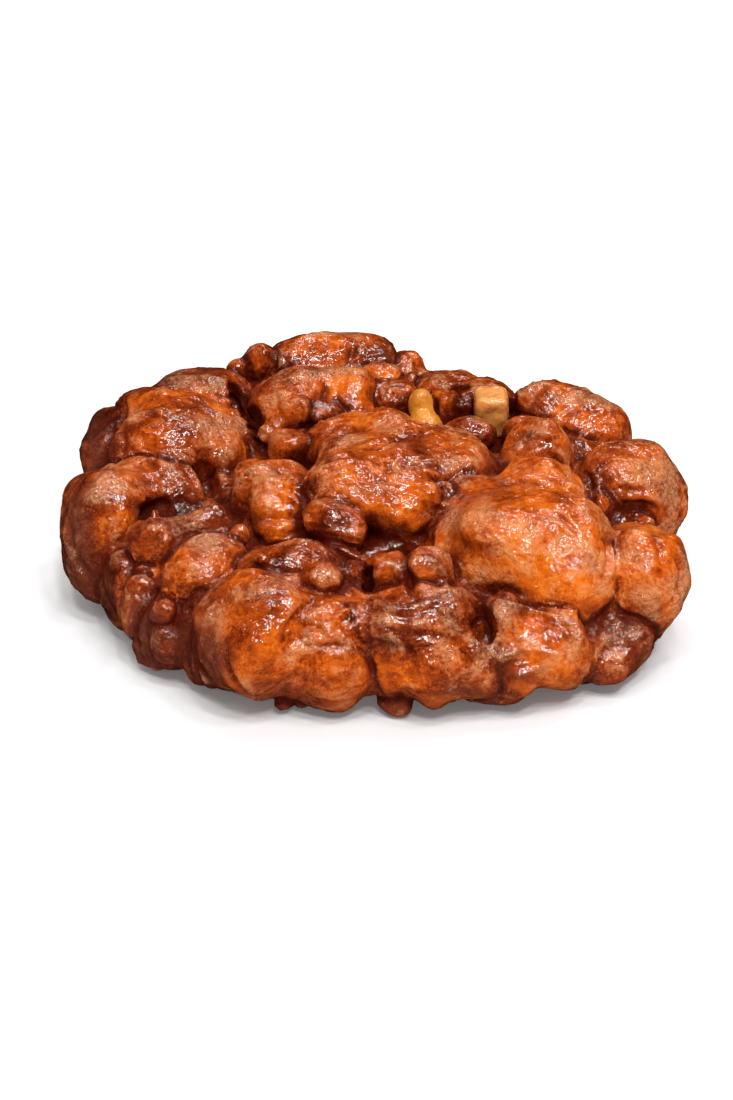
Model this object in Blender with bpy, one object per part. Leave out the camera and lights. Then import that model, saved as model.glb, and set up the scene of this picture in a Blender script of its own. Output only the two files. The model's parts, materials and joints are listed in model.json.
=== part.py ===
# Apple fritter: one mass of fried dough lobes under a set glaze, with two cut apple pieces showing at the back.
# Metres, +Z up, the underside resting on z = 0, the front towards -Y.
import bpy
import bmesh
import math
import numpy as np

# ---------------------------------------------------------------- sizes, mm
WIDTH = 140.0                       # side to side, a large fritter
VIEW_TILT = math.radians(30.0)      # lobes are laid out in a view from 30 degrees above the front
VIEW_DISTANCE = 750.0               # from the eye to the aim point
VIEW_SCALE = 628.0 / WIDTH          # columns per mm at the aim point
VIEW_MIDDLE = (366.5, 550.0)        # column and row of the aim point
AIM = np.array([-2.1, 0.0, 10.5])
SHIFT = np.array([-0.04, -6.375, 0.0])  # brings the middle of the footprint over the origin
GRID_LOW = np.array([-76.0, -68.0, -5.0])
GRID_HIGH = np.array([76.0, 76.0, 44.0])
FILL_REACH = 2.1                    # the dough has run together in valleys narrower than about this
FILL_SINK = 0.35                    # how far below that a valley still sinks
FLOW = ((0.60, 16.0), (0.26, 8.0))   # how far and over what length the lobes' forms wander
FIT_GAP = 0.5                       # clearance round an apple piece in its pocket
GOLDEN = 0.6180339887               # spreads phases and directions evenly
RIM_LOBES = ((-38, 50, 12, 10, 9, 10), (-24, 55, 13, 9, 9, 10), (-8, 60, 14, 10, 9, 11), (6, 55, 13, 9, 9, 10),
             (18, 49, 13, 9, 9, 10), (31, 42, 12, 9, 9, 10), (44, 37, 11, 10, 9, 10), (54, 29, 11, 8, 9, 9),
             (57, 8, 10, 9, 9, 9), (56, -8, 9, 9, 10, 8.5), (54, -25, 9, 8, 9, 8.5), (44, -35, 8, 9, 8, 8),
             (-55, 37, 11, 8, 9, 10), (-58, 19, 11, 8, 10, 10), (-58, -1, 10, 8.5, 10, 9), (-52, -18, 10, 8, 9, 9),
             (-43, -31, 10, 9, 8, 9), (-33, -40, 8, 8, 8, 8), (-12, -40, 9, 12, 8, 9), (4, -38, 10, 12, 8, 9),
             (22, -36, 10, 12, 8, 9), (-18, 50, 22, 8, 6.5, 7), (-4, 50, 21, 8, 6.5, 7), (35, 40, 17, 8, 7, 8))
SPIRAL_LOBES = 30                   # lobes spread under the top ones, and again on the underside

# the view: unit vectors to the right, up and away, and the eye
RIGHT = np.array([1.0, 0.0, 0.0])
UP = np.array([0.0, math.sin(VIEW_TILT), math.cos(VIEW_TILT)])
AWAY = np.array([0.0, math.cos(VIEW_TILT), -math.sin(VIEW_TILT)])
EYE = AIM - VIEW_DISTANCE * AWAY

# lobes run together softly within one lump of dough, and meet in a crease between lumps. A lump's name is
# the first two letters of its lobes, except for these
LUMPS = {'L2a': 'L2a', 'L2b': 'L2b L2c L2d L2e L2f L3 L3a', 'B4f': 'B4f', 'B5a': 'B5a', 'B6a': 'B6a', 'B6b': 'B6b', 'B6c': 'B6c',
         'S0': 'S0 S1 S2 S4 S5 S6 S7 S8 S9 C3 C2 C2a C2c C2d', 'C2b': 'C2b', 'C5f': 'C5f', 'C6r': 'C6r',
         'C7a': 'C7a', 'C7b': 'C7b', 'C1b': 'C1b C1n', 'F1e': 'F1e F1b F1d F1g', 'F1c': 'F1c', 'F4': 'F4 F4r F4l',
         'R1b': 'R1b', 'R1g': 'R1g', 'L5b': 'L5b', 'L5k': 'L5k', 'L6c': 'L6c L6d', 'L6l': 'L6l',
         'G': 'G1 G2 G3 G4', 'B1b': 'B1b', 'B1s': 'B1s'}
# how softly a lump meets its neighbours, mm, where that isn't 1.5
JOIN = {'co': 3.0, 'un': 2.5, 'ri': 2.5, 'G': 3.0, 'S0': 2.2, 'B6c': 2.5, 'F4': 2.6, 'H1': 2.0, 'V1': 2.0,
        'V2': 2.0, 'C1b': 2.5, 'F1': 2.4, 'F1e': 4.0, 'F2': 4.0, 'F3': 3.0, 'B1s': 2.5, 'C2b': 1.8, 'C6r': 3.0, 'B4f': 0.9,
        'L6c': 2.0, 'F1c': 2.0, 'S3': 1.6, 'L5k': 2.5, 'B5e': 0.8}

LOBES = []
HOLLOWS = []


def lump_of(name):
    for lump, names in LUMPS.items():
        if name in names.split():
            return lump
    return name[:2]



def seen(column, row, height):
    """The point at this height that shows at this column and row."""
    f = VIEW_SCALE * VIEW_DISTANCE
    ray = AWAY + RIGHT * (column - VIEW_MIDDLE[0]) / f - UP * (row - VIEW_MIDDLE[1]) / f
    return EYE + ray * ((height - EYE[2]) / ray[2])


def turned(yaw, tip, roll):
    y, t, r = (math.radians(v) for v in (yaw, tip, roll))
    about_z = np.array([[math.cos(y), -math.sin(y), 0], [math.sin(y), math.cos(y), 0], [0, 0, 1]])
    about_x = np.array([[1, 0, 0], [0, math.cos(t), -math.sin(t)], [0, math.sin(t), math.cos(t)]])
    about_y = np.array([[math.cos(r), 0, math.sin(r)], [0, 1, 0], [-math.sin(r), 0, math.cos(r)]])
    return about_z @ about_x @ about_y


def place(table, name, centre, half, yaw, tip, roll, k, box, w, part):
    table.append(dict(name=name, c=np.asarray(centre, float), r=np.array(half, float), R=turned(yaw, tip, roll),
                      k=k, box=box, w=w, part=part, lump=lump_of(name), ph=2 * math.pi * ((len(table) + 1) * GOLDEN % 1.0)))


def lobe(name, column, row, height, half, yaw=0, tip=0, roll=0, k=1.2, box=0, w=1.0, part='dough'):
    """One lobe: where it shows, its height, half sizes, turn, how softly it joins (k), and box for a blocky one."""
    place(LOBES, name, seen(column, row, height), half, yaw, tip, roll, k, box, w, part)


def hollow(name, column, row, height, half, yaw=0, tip=0, roll=0, k=1.2, box=0, w=0.0):
    place(HOLLOWS, name, seen(column, row, height), half, yaw, tip, roll, k, box, w, 'dough')


def lobe_at(name, centre, half, yaw=0, k=1.0):
    place(LOBES, name, centre, half, yaw, 0, 0, k, 0, 1.0, 'dough')


# ------------------------------------------------------- lobes of the dough
lobe('core',376,526,13.5,(55,48,8.5),k=3,w=0)
# left side
lobe('L1',115,526,16,(12.1,13.5,13.7))
lobe('L1t',150,489,21,(11,7,6.5),k=4)
lobe('L1r',178,497,20,(7.5,7,6.5),roll=10,k=4)
lobe('L1m',110,498,25,(6,6,4),k=4)
lobe('L1n',118,522,21,(5,6.5,6.5),k=4)
lobe('L1c',109,564,11,(8.6,9,9),k=4)
lobe('L2a',112,456,16,(6.8,11.5,11.5),k=4)
lobe('L2d',141,432,19,(8,9,10),k=3)
lobe('L2b',178,458,22,(16,11,12),roll=12,k=3)
lobe('L2c',178,429,24,(14,8,9),roll=2,k=3)
lobe('L2e',238,440,21.5,(6.5,6,5),roll=18,k=3)
lobe('L2f',110,436,22,(4,5,5),k=3)
lobe('L3',198,408,22,(13.5,9,9),k=3)
lobe('L3a',223,398,24,(6,7,6),k=3)
lobe('H1',233,463,18.5,(6,5,5),k=2.5)
lobe('V1',217,497,18.5,(5.5,6,5),k=2.5)
lobe('V2',236,512,18.5,(4.5,5,5.5),k=2.5)
# back, with the apple pieces
lobe('B1',262,361,28,(4.4,4.5,4.4),w=0.5)
lobe('B1b',235,370,27,(2.6,2.6,2.8),w=0.5)
lobe('B1s',262,392,18,(8,8,10),k=2.5)
lobe('B2',317,364,26,(11,9,7),k=4.5)
lobe('B2r',367,361,26,(7.4,8,6.6),k=4)
lobe('B2l',290,374,24.5,(5.5,7,7.5),k=2.5)
lobe('B3',403,370,23,(4.6,5,5.2),roll=30,k=3)
lobe('B3b',385,377,27,(5.5,4,3.4),roll=18)
lobe('B3c',452,389,20,(8,6,4.8),roll=10,k=3)
lobe('B4',300,403,27,(9.3,8,7.4),k=4)
lobe('B4r',349,404,27,(6.4,8,7.4),k=4)
lobe('B4t',326,392,29,(11,6,4),k=5)
lobe('B4l',264,415,25,(5.5,7,6),k=4)
lobe('B4b',286,431,24,(6,5,4.5),k=4)
lobe('B4f',322,415,28.5,(5,3.5,3),roll=8,k=2.5)
lobe('B4g',357,419,27,(4,3,2.6),k=2.5)
lobe('B4i',275,404,30,(3,2.6,2.6),k=5)
lobe('B4j',293,390,31.5,(4,3,3),k=5)
lobe('B4k',297,412,30,(3.4,3,3),k=5)
lobe('B4n',268,433,26,(2.6,2.6,2.6),k=4)
lobe('B5a',410,382,27,(2.5,2.5,2.4))
lobe('B5b',446,399,24.5,(8,6,4.6),roll=22,k=3)
lobe('B5c',484,400,25.5,(7.2,6,5),roll=10,k=3)
lobe('B5d',432,402,21,(7,7,6),k=3)
lobe('B6a',394,402,27,(5.2,4.4,4.4),yaw=10,box=2.6,k=3)
lobe('B6b',449,411,26,(3.8,4,4.2),yaw=25,roll=20,box=1.2,k=3)
lobe('B5e',467,412,25.5,(2.4,4,4.4),box=1.2,k=2)
lobe('B6c',469,434,26.5,(6.2,4.6,3.8),k=3)
lobe('A1u',421,405,30,(2.9,2.8,4),w=0,part='apple_piece_1')
lobe('A1l',425,425,27,(4,3.5,3),w=0,part='apple_piece_1')
lobe('A2',491,413,27,(3.7,4,5.2),box=1.4,part='apple_piece_2')
lobe('B7',549,413,22.5,(9,8,7.5),yaw=-20,roll=8,k=4)
lobe('B7m',580,425,21,(8.5,8,7.3),yaw=-25,roll=12,k=4)
lobe('B7r',606,433,19.5,(6,7,6.8),k=4)
lobe('B7f',592,447,19.5,(3.6,3.4,2.2))
# right side
lobe('R1',627,489,19.5,(12,11,10.8),k=3)
lobe('R1e',650,492,19.5,(5.4,9,8.5),k=3)
lobe('R1f',604,480,23,(5,5,5.5),k=3)
lobe('R1d',640,513,12,(9.2,11,9),k=3)
lobe('R1b',602,508,23.5,(2.5,2.5,2.6),k=0.8)
lobe('R1g',632,519,18.5,(5,3.2,2.4),k=0.8)
lobe('R2',643,581,17,(10.3,12.3,11.9),k=3)
lobe('R2a',630,546,23,(5.5,6,4.5),k=3)
lobe('R2c',667,562,22,(3.4,5.5,5.5),k=3)
lobe('R2d',641,611,9,(6,8,7),k=3)
lobe('R3',604,665,6,(4.8,4.8,4.6),w=0.3)
lobe('R3b',620,664,6,(3.2,3.4,3.8),k=3)
lobe('R3d',624,637,9.5,(7,6.5,6),k=4)
lobe('R3e',590,641,9,(4,5,5),k=3)
lobe('R3f',597,619,14,(3.6,4,4.4),k=3)
lobe('G1',592,604,13,(5.5,7,7),k=3)
lobe('G2',592,580,14,(8,9,7),k=3)
lobe('G3',590,520,16,(8,9,8),k=3)
lobe('G4',577,472,17,(6.5,9,8),k=3)
# front, with the crumbs at its foot
lobe('F1',262,641,13.5,(13.5,13.0,12.6),k=3)
lobe('F1c',214,656,9,(4.5,7,7.3))
lobe('F1h',219,616,19,(5.6,6,6.4),k=2)
lobe('F1a',250,589,24.5,(5,4,3.6),k=5)
lobe('F1i',274,605,24.5,(5.5,4.5,4),k=5)
lobe('F1e',330,648,12,(10,12,11),k=3.5)
lobe('F1b',330,672,8.5,(9,8,7.4),k=3.5)
lobe('F1d',322,627,20,(3.2,3.5,3.5),k=5)
lobe('F1g',350,628,19,(5,4,4),k=5)
lobe('F4l',342,601,20,(6,5,4),k=5)
lobe('F2a',392,662,10,(5.5,7.5,8),k=3.5)
lobe('F2b',436,664,11,(8.5,9,8.6),k=4)
lobe('F2c',474,663,10,(5.5,8,7.5),k=3.5)
lobe('F2e',470,645,15,(5,5,5),k=4)
lobe('F2d',385,637,17,(3.6,3.6,3.6),k=4.5)
lobe('F4',405,619,20.5,(13,8,6),k=4.5)
lobe('F4r',457,619,19,(5,7,6.5),k=4.5)
lobe('F3l',505,617,19.5,(4.4,5.5,5.2),k=4.5)
lobe('F3k',500,648,14,(4,4,4),k=4.5)
lobe('F3m',512,668,9,(5.5,7,6.4),k=3.5)
lobe('F3b',490,679,5,(8,6,4.5),k=3.5)
lobe('F3',547,645,12,(8.5,9,8.6),k=3.5)
lobe('F3r',567,648,11.5,(3.8,8,8),k=4.5)
lobe('F3s',560,658,6,(6,5,4),k=3.5)
lobe('Q1',397,703,2.3,(3.5,2.7,2.5),k=1)
lobe('Q2',448,697,2,(2,1.8,1.5),k=0.6)
lobe('Q3',284,706,1.4,(2.3,1.7,1.4),k=0.6)
lobe('Q4',301,702,1.9,(2.2,1.7,1.5),k=0.6)
# left front
lobe('L4',184,529,26,(10.2,3.4,3.3),roll=-15,box=2.6,k=1.2)
lobe('L4e',153,543,24,(4.2,4,5),roll=-15,box=2.2,k=1.2)
lobe('L5',205,576,20,(9.3,8.5,7.8),k=2.8)
lobe('L5a',181,588,17,(4.6,5.6,5.4),k=2.8)
lobe('L5b',200,599,19,(2.5,2.6,2.6),k=2.8)
lobe('L5u',212,556,23.5,(7,5,4),k=2.8)
lobe('L5k',238,537,25.6,(2.4,2.4,2.4),k=2.8)
lobe('L6a',127,582,14,(5.5,7,7.5),k=2.8)
lobe('L6b',142,608,12,(4.8,7,8),k=2.8)
lobe('L6l',147,573,19,(3.5,2.6,1.8),k=2.8)
lobe('L7',162,613,16.5,(1.7,2.0,2.6),roll=30,box=1.2)
lobe('L6c',172,638,9,(5,6.5,6.5),k=2.8)
lobe('L6d',155,645,5,(4.3,6,4.4),k=2.8)
lobe('Q5',172,659,2.5,(2.6,2.2,1.9),k=0.6)
# middle
lobe('C4u',276,480,27.5,(7.6,6,4.6),roll=4,k=3)
lobe('C4v',250,488,26,(3.6,4,4.6),k=3)
lobe('C4',281,509,25,(6.2,5.4,7),yaw=-8,tip=16,box=3.4,k=2.4)
lobe('C4w',283,530,23.5,(6,4,3.6),k=3)
lobe('C4b',248,512,21,(4,5,6),k=3)
lobe('C5',336,526,28,(8.6,4.6,4.6),yaw=-35,roll=10,k=2.2)
lobe('C5a',311,502,28,(3.6,3.6,3.6),k=2.2)
lobe('C5f',346,556,23.5,(7,2.8,3),yaw=-35,roll=12,k=2.2)
lobe('C6',299,566,25,(9.3,7,5.5),k=2.2)
lobe('C6p',322,578,26.5,(4,3.2,3),k=3.5)
lobe('C6r',355,576,24,(3.4,3.4,3.4),k=3)
lobe('C6l',262,569,24,(4,4.5,4),k=2.2)
lobe('C6g',267,563,28,(3.2,1.2,1.2),roll=28,yaw=-15,k=0.5)
lobe('C6b',294,588,22.5,(5,3.2,2.6),k=2.2)
lobe('C7a',388,581,24,(4.3,3.8,5.6),yaw=15,box=2.0)
lobe('C7b',427,577,25,(4.4,4.2,5.6),yaw=-10,box=2.4)
lobe('C2',372,489,29.5,(14,9.5,7.5),roll=6,k=3)
lobe('C2a',343,484,31.5,(6,5,4),k=5)
lobe('C2d',404,507,28,(9.5,8,7.2),roll=10,k=5)
lobe('C2c',425,493,33,(3,3,2.6),k=2.5)
lobe('C2b',441,498,30,(3.6,3.8,3.4),k=2.5)
lobe('C1',536,556,23.5,(16,14,10.5),k=3)
lobe('C1c',567,591,19.5,(9.5,8.5,8),k=5)
lobe('C1f',474,508,27,(9,8,6),k=6)
lobe('C1v',535,525,29,(15,9,6.5),k=6)
lobe('C1d',470,545,23.5,(9,9,7),k=5)
lobe('C1g',461,575,20,(8.5,8.5,7),k=5)
lobe('C1u',536,501,26,(11,10,9),k=4.5)
lobe('C1b',535,457,27,(8,8,8),k=4.5)
lobe('C1n',530,434,25.5,(6,5,4.5),k=4.5)
lobe('C1e',500,530,32,(8,6,4),k=5)
lobe('C3',385,429,32,(4.2,4,4.2),k=3.5)
lobe('S0',398,470,29,(17,7,5.5),k=7)
lobe('S1',400,455,27,(18,8,6),k=6)
lobe('S2',452,471,27,(11,7.5,5.6),k=6)
lobe('S3',292,447,27,(4.4,4.2,3.6),box=2.4)
lobe('S4',340,445,27,(9,7,5),k=6)
lobe('S5',345,432,30,(5,3,2.6),k=6)
lobe('S6',420,450,31,(6,4,3),k=6)
lobe('S7',442,471,31,(7,5,4),k=6)
lobe('S8',463,464,29.5,(3.2,3,2.6),k=6)
lobe('S9',360,453,31.5,(7,4,3),k=6)
# hollows between the lobes
hollow('p1',484,618,22,(2.6,4,8),w=0)
hollow('p2',398,551,24,(9,4.5,6),w=0)
hollow('p3',208,480,23.5,(2.6,6,5),yaw=15,w=0)
hollow('p4',462,401,26,(2.5,3.2,4.5),w=0)
hollow('p5',509,417,24,(1.9,4,5.5),w=0)
hollow('p6',640,509,21,(4.6,3,2.4),roll=8,w=0)
hollow('p7',611,488,26,(2.2,2.6,2.6),w=0)
hollow('p8',147,591,19,(2,2.2,2.2),w=0)
hollow('p9',309,464,32,(1.6,2,3),w=0)
hollow('p10',377,406,26,(1.6,3,5.5),w=0)
hollow('p11',372,583,24,(1.7,2.3,3.6),w=0)
hollow('p12',238,405,25.5,(2.2,6,6.5),yaw=22,w=0)
hollow('p12b',255,430,24.5,(1.8,5,5.5),yaw=26,w=0)
hollow('p13',594,621,18.5,(3.2,4,5),w=0)
hollow('p14',160,510,22.5,(6.0,2.1,3.6),roll=-8,w=0)
hollow('p15',143,523,22,(2,4.5,5),w=0)
# the rim and the layers that the top lobes cover
for i, (x, y, z, a, b, c) in enumerate(RIM_LOBES):
    lobe_at('rim%d' % i, (x, y, z), (a, b, c), 40 * i)
for i in range(SPIRAL_LOBES):
    reach, turn = math.sqrt((i + 0.5) / SPIRAL_LOBES), 2 * math.pi * (1 - GOLDEN) * i
    s = 1 + 0.18 * math.sin(2.1 * i)
    lobe_at('under_top%d' % i, (51.5 * reach * math.cos(turn + 0.6), 4 + 46 * reach * math.sin(turn + 0.6), 16.5),
            (9 * s, 8.5 * s, 6.4 + 0.9 * math.sin(1.7 * i)), 53 * i)
for i in range(SPIRAL_LOBES):
    reach, turn = math.sqrt((i + 0.5) / SPIRAL_LOBES), 2 * math.pi * (1 - GOLDEN) * i
    s = 1 + 0.15 * math.sin(2.7 * i)
    lobe_at('underside%d' % i, (55 * reach * math.cos(turn + 2.0) - 0.5, 4 + 49 * reach * math.sin(turn + 2.0), 6.6),
            (9.5 * s, 8.5 * s, 7.1 + 0.5 * math.sin(1.3 * i)), 31 * i, 0.9)


# ------------------------------------------------------------ field to mesh
def soft_min(a, b, k):
    h = np.maximum(k - np.abs(a - b), 0) / k
    return np.minimum(a, b) - h * h * k * 0.25


def distance(l, p):
    """Signed distance from points p to one lobe, with its own slow unevenness."""
    q = (p - l['c']) @ l['R']
    a = q / l['r']
    if l['box']:
        e = np.abs(q) - (l['r'] - l['box'])
        d = np.sqrt((np.maximum(e, 0) ** 2).sum(-1)) + np.minimum(e.max(-1), 0) - l['box']
    else:
        b = a / l['r']
        k0 = np.sqrt((a * a).sum(-1))
        d = k0 * (k0 - 1) / (np.sqrt((b * b).sum(-1)) + 1e-9)
    if l['w'] > 0:
        f = l['ph']
        x, y, z = a[..., 0], a[..., 1], a[..., 2]
        size = l['w'] * min(0.030 * l['r'].min(), 0.32)
        d = d + size * (np.sin(2.6 * x + 1.9 * y + f) + np.sin(3.4 * y - 2.2 * z + 2.1 * f)
                        + np.sin(3.9 * z - 2.7 * x + 3.7 * f) + 0.6 * np.sin(5.9 * x + 4.1 * z - 4.7 * y + 5.3 * f))
    return d


def drift(p):
    """How far the dough has flowed from each lobe's plain form at points p, mm."""
    out = np.zeros_like(p)
    for reach, length in FLOW:
        for i in range(4):
            a, b = 2 * math.pi * ((i + 1) * GOLDEN % 1.0), math.acos(1 - 2 * ((i + 0.5) * 0.7548776662 % 1.0))
            way = np.array([math.sin(b) * math.cos(a + length), math.sin(b) * math.sin(a + length), math.cos(b)])
            turn = (p @ way) * (2 * math.pi / length) + 2.4 * i + length
            for ax in range(3):
                out[..., ax] += 0.5 * reach * np.sin(turn + 2.1 * ax + 0.7 * i * ax)
    return out


def box_of(l, margin, low, n, h):
    """The part of the grid that a lobe can reach."""
    reach = np.abs(l['R']) @ l['r'] + margin
    i0 = np.clip(((l['c'] - reach - low) / h).astype(int), 0, n - 1)
    i1 = np.clip(((l['c'] + reach - low) / h).astype(int) + 2, i0 + 1, n)
    return tuple(slice(int(a), int(b)) for a, b in zip(i0, i1))


def lumps(part):
    """The lobes of one part, gathered by the lump that they belong to."""
    found = {}
    for l in LOBES:
        if l['part'] == part:
            found.setdefault(l['lump'], []).append(l)
    return list(found.values())


def spread(g, h, size):
    """Gaussian mean of a field, size in mm."""
    n = int(2.6 * size / h)
    w = np.exp(-0.5 * (np.arange(-n, n + 1) * h / size) ** 2)
    w /= w.sum()
    g = g.astype(np.float32)
    for ax in range(3):
        p = np.pad(g, [(n, n) if i == ax else (0, 0) for i in range(3)], mode='edge')
        out = np.zeros_like(g)
        for k, share in enumerate(w):
            cut = [slice(None)] * 3
            cut[ax] = slice(k, k + g.shape[ax])
            out += np.float32(share) * p[tuple(cut)]
        g = out
    return g.astype(float)


def field(part, h, low=GRID_LOW, high=GRID_HIGH):
    """Distance to the joined lobes of one part, on a grid of pitch h."""
    n = ((high - low) / h).astype(int) + 1
    g = np.full(n, 8.0)
    every = np.stack(np.meshgrid(*[low[i] + h * np.arange(n[i]) for i in range(3)], indexing='ij'), -1)
    moved = every + drift(every) if part == 'dough' else every
    for lump in lumps(part):
        boxes = [box_of(l, 9, low, n, h) for l in lump]
        whole = tuple(slice(min(b[i].start for b in boxes), max(b[i].stop for b in boxes)) for i in range(3))
        own = np.full([c.stop - c.start for c in whole], 8.0)
        for l, b in zip(lump, boxes):
            cut = tuple(slice(c.start - w.start, c.stop - w.start) for c, w in zip(b, whole))
            own[cut] = soft_min(own[cut], distance(l, moved[b]), l['k'] if l['box'] else max(l['k'], 1.0 + 0.38 * l['r'].min()))
        g[whole] = soft_min(g[whole], own, JOIN.get(lump[0]['lump'], 1.5))
    if part == 'dough':
        g = soft_min(g, spread(g, h, FILL_REACH) + FILL_SINK, 0.8)
        for l in HOLLOWS:
            cut = box_of(l, 6, low, n, h)
            g[cut] = -soft_min(-g[cut], distance(l, every[cut]), 1.2)
    return g


def well_joined(g):
    """Fill the few grid squares and cubes that touch only across a corner, so that the skin is one simple surface."""
    g = g.copy()
    for _ in range(30):
        inside = g < 0
        fill = np.zeros_like(inside)
        for ax in range(3):
            u, v = [i for i in range(3) if i != ax]
            s = [[slice(None)] * 3 for _ in range(4)]
            for k, (du, dv) in enumerate(((0, 0), (1, 0), (0, 1), (1, 1))):
                s[k][u] = slice(1, None) if du else slice(None, -1)
                s[k][v] = slice(1, None) if dv else slice(None, -1)
                s[k] = tuple(s[k])
            a, b, c, d = (inside[t] for t in s)
            bad = (a & d & ~b & ~c) | (~a & ~d & b & c)
            for t in s:
                fill[t] |= bad
        corners = [tuple(slice(1, None) if d else slice(None, -1) for d in (i, j, k))
                   for i in (0, 1) for j in (0, 1) for k in (0, 1)]
        total = sum(inside[t].astype(np.int8) for t in corners)
        for t, o in zip(corners[:4], corners[7:3:-1]):
            bad = ((total == 2) & inside[t] & inside[o]) | ((total == 6) & ~inside[t] & ~inside[o])
            for q in corners:
                fill[q] |= bad
        fill &= ~inside
        if not fill.any():
            return g
        g[fill] = -0.02
    return g


def skin(g, h, low=GRID_LOW):
    """Vertices (mm) and quads of the zero surface of g, keeping only its largest piece."""
    g = well_joined(g)
    inside = g < 0
    total = sum(inside[tuple(slice(1, None) if d else slice(None, -1) for d in (i, j, k))].astype(np.int8)
                for i in (0, 1) for j in (0, 1) for k in (0, 1))
    mixed = (total > 0) & (total < 8)
    cells = np.argwhere(mixed)
    points = np.zeros((len(cells), 3))
    count = np.zeros(len(cells))
    for ax in range(3):
        for du in (0, 1):
            for dv in (0, 1):
                o = np.zeros(3, int)
                o[(ax + 1) % 3], o[(ax + 2) % 3] = du, dv
                i0 = cells + o
                i1 = i0.copy()
                i1[:, ax] += 1
                a, b = g[tuple(i0.T)], g[tuple(i1.T)]
                m = (a < 0) != (b < 0)
                q = i0[m].astype(float)
                q[:, ax] += a[m] / (a[m] - b[m])
                points[m] += q
                count[m] += 1
    points = low + h * points / count[:, None]
    ids = np.full(mixed.shape, -1, np.int64)
    ids[mixed] = np.arange(len(cells))
    quads = []
    for ax in range(3):
        u, v = (ax + 1) % 3, (ax + 2) % 3
        lower, upper = [slice(None)] * 3, [slice(None)] * 3
        lower[ax], upper[ax] = slice(None, -1), slice(1, None)
        a, b = inside[tuple(lower)], inside[tuple(upper)]
        e = np.argwhere(a != b)
        e = e[(e[:, u] > 0) & (e[:, v] > 0) & (e[:, u] < mixed.shape[u]) & (e[:, v] < mixed.shape[v])]
        eu, ev = np.eye(3, dtype=int)[u], np.eye(3, dtype=int)[v]
        q = np.stack([ids[tuple((e - s).T)] for s in (eu + ev, ev, 0 * eu, eu)], 1)
        out = a[tuple(e.T)]
        quads.append(np.where(out[:, None], q, q[:, ::-1]))
    quads = np.concatenate(quads)
    label = np.arange(len(points))
    while True:
        low_label = label[quads].min(1)
        new = label.copy()
        np.minimum.at(new, quads.ravel(), np.repeat(low_label, 4))
        new = new[new]
        if (new == label).all():
            break
        label = new
    names, size = np.unique(label, return_counts=True)
    keep = label == names[size.argmax()]
    quads = quads[keep[quads[:, 0]]]
    number = np.cumsum(keep) - 1
    return points[keep] + SHIFT, number[quads]

# ----------------------------------------------------------------- build it
DOUGH_PITCH = 1.4                   # mm, grid the dough is shaped on
PIECE_PITCH = 0.8                   # mm, the same for an apple piece
DOUGH_FACES = 8300                  # triangles kept on the dough
PIECE_FACES = 320                   # triangles kept on an apple piece
MM = 0.001

for old in list(bpy.data.objects):
    bpy.data.objects.remove(old, do_unlink=True)


def material(name, color, roughness):
    m = bpy.data.materials.new(name)
    m.use_nodes = True
    b = m.node_tree.nodes['Principled BSDF']
    b.inputs['Base Color'].default_value = (*color, 1)
    b.inputs['Roughness'].default_value = roughness
    b.inputs['Metallic'].default_value = 0
    m.diffuse_color = (*color, 1)
    return m


def solid(name, part, pitch, faces, grow=0.0):
    """Closed body of one part; grow swells it evenly, in mm."""
    points, quads = skin(field(part, pitch) - grow, pitch)
    mesh = bpy.data.meshes.new(name)
    mesh.from_pydata((points * MM).tolist(), [], quads.tolist())
    b = bmesh.new()
    b.from_mesh(mesh)
    bmesh.ops.triangulate(b, faces=b.faces)
    bmesh.ops.recalc_face_normals(b, faces=b.faces)
    for f in b.faces:
        f.smooth = True
    count = len(b.faces)
    b.to_mesh(mesh)
    b.free()
    o = bpy.data.objects.new(name, mesh)
    bpy.context.collection.objects.link(o)
    d = o.modifiers.new('fewer faces', 'DECIMATE')
    d.ratio = min(1.0, faces / count)
    d.use_collapse_triangulate = True
    return o


def hide(o):
    o.hide_render = True
    o.display_type = 'WIRE'
    return o


def subtract(o, cutter, name):
    m = o.modifiers.new(name, 'BOOLEAN')
    m.operation = 'DIFFERENCE'
    m.solver = 'EXACT'
    m.object = cutter


glazed = material('glazed_crust', (0.42, 0.115, 0.022), 0.28)
apple_yellow = material('apple_yellow', (0.72, 0.36, 0.06), 0.35)
apple_tan = material('apple_tan', (0.60, 0.27, 0.07), 0.35)

dough = solid('dough', 'dough', DOUGH_PITCH, DOUGH_FACES)
dough.data.materials.append(glazed)

# the part below the table top is cut off, which leaves flat resting patches
mesh = bpy.data.meshes.new('table_cut')
b = bmesh.new()
bmesh.ops.create_cube(b, size=1.0)
for v in b.verts:
    v.co = (v.co.x * 0.2, v.co.y * 0.2, v.co.z * 0.02 - 0.01)
b.to_mesh(mesh)
b.free()
table_cut = hide(bpy.data.objects.new('table_cut', mesh))
bpy.context.collection.objects.link(table_cut)
subtract(dough, table_cut, 'flat underside')

for name, m in (('apple_piece_1', apple_yellow), ('apple_piece_2', apple_tan)):
    piece = solid(name, name, PIECE_PITCH, PIECE_FACES)
    piece.data.materials.append(m)
    subtract(dough, hide(solid(name + '_pocket', name, PIECE_PITCH, PIECE_FACES, FIT_GAP)), 'pocket of ' + name)
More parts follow.
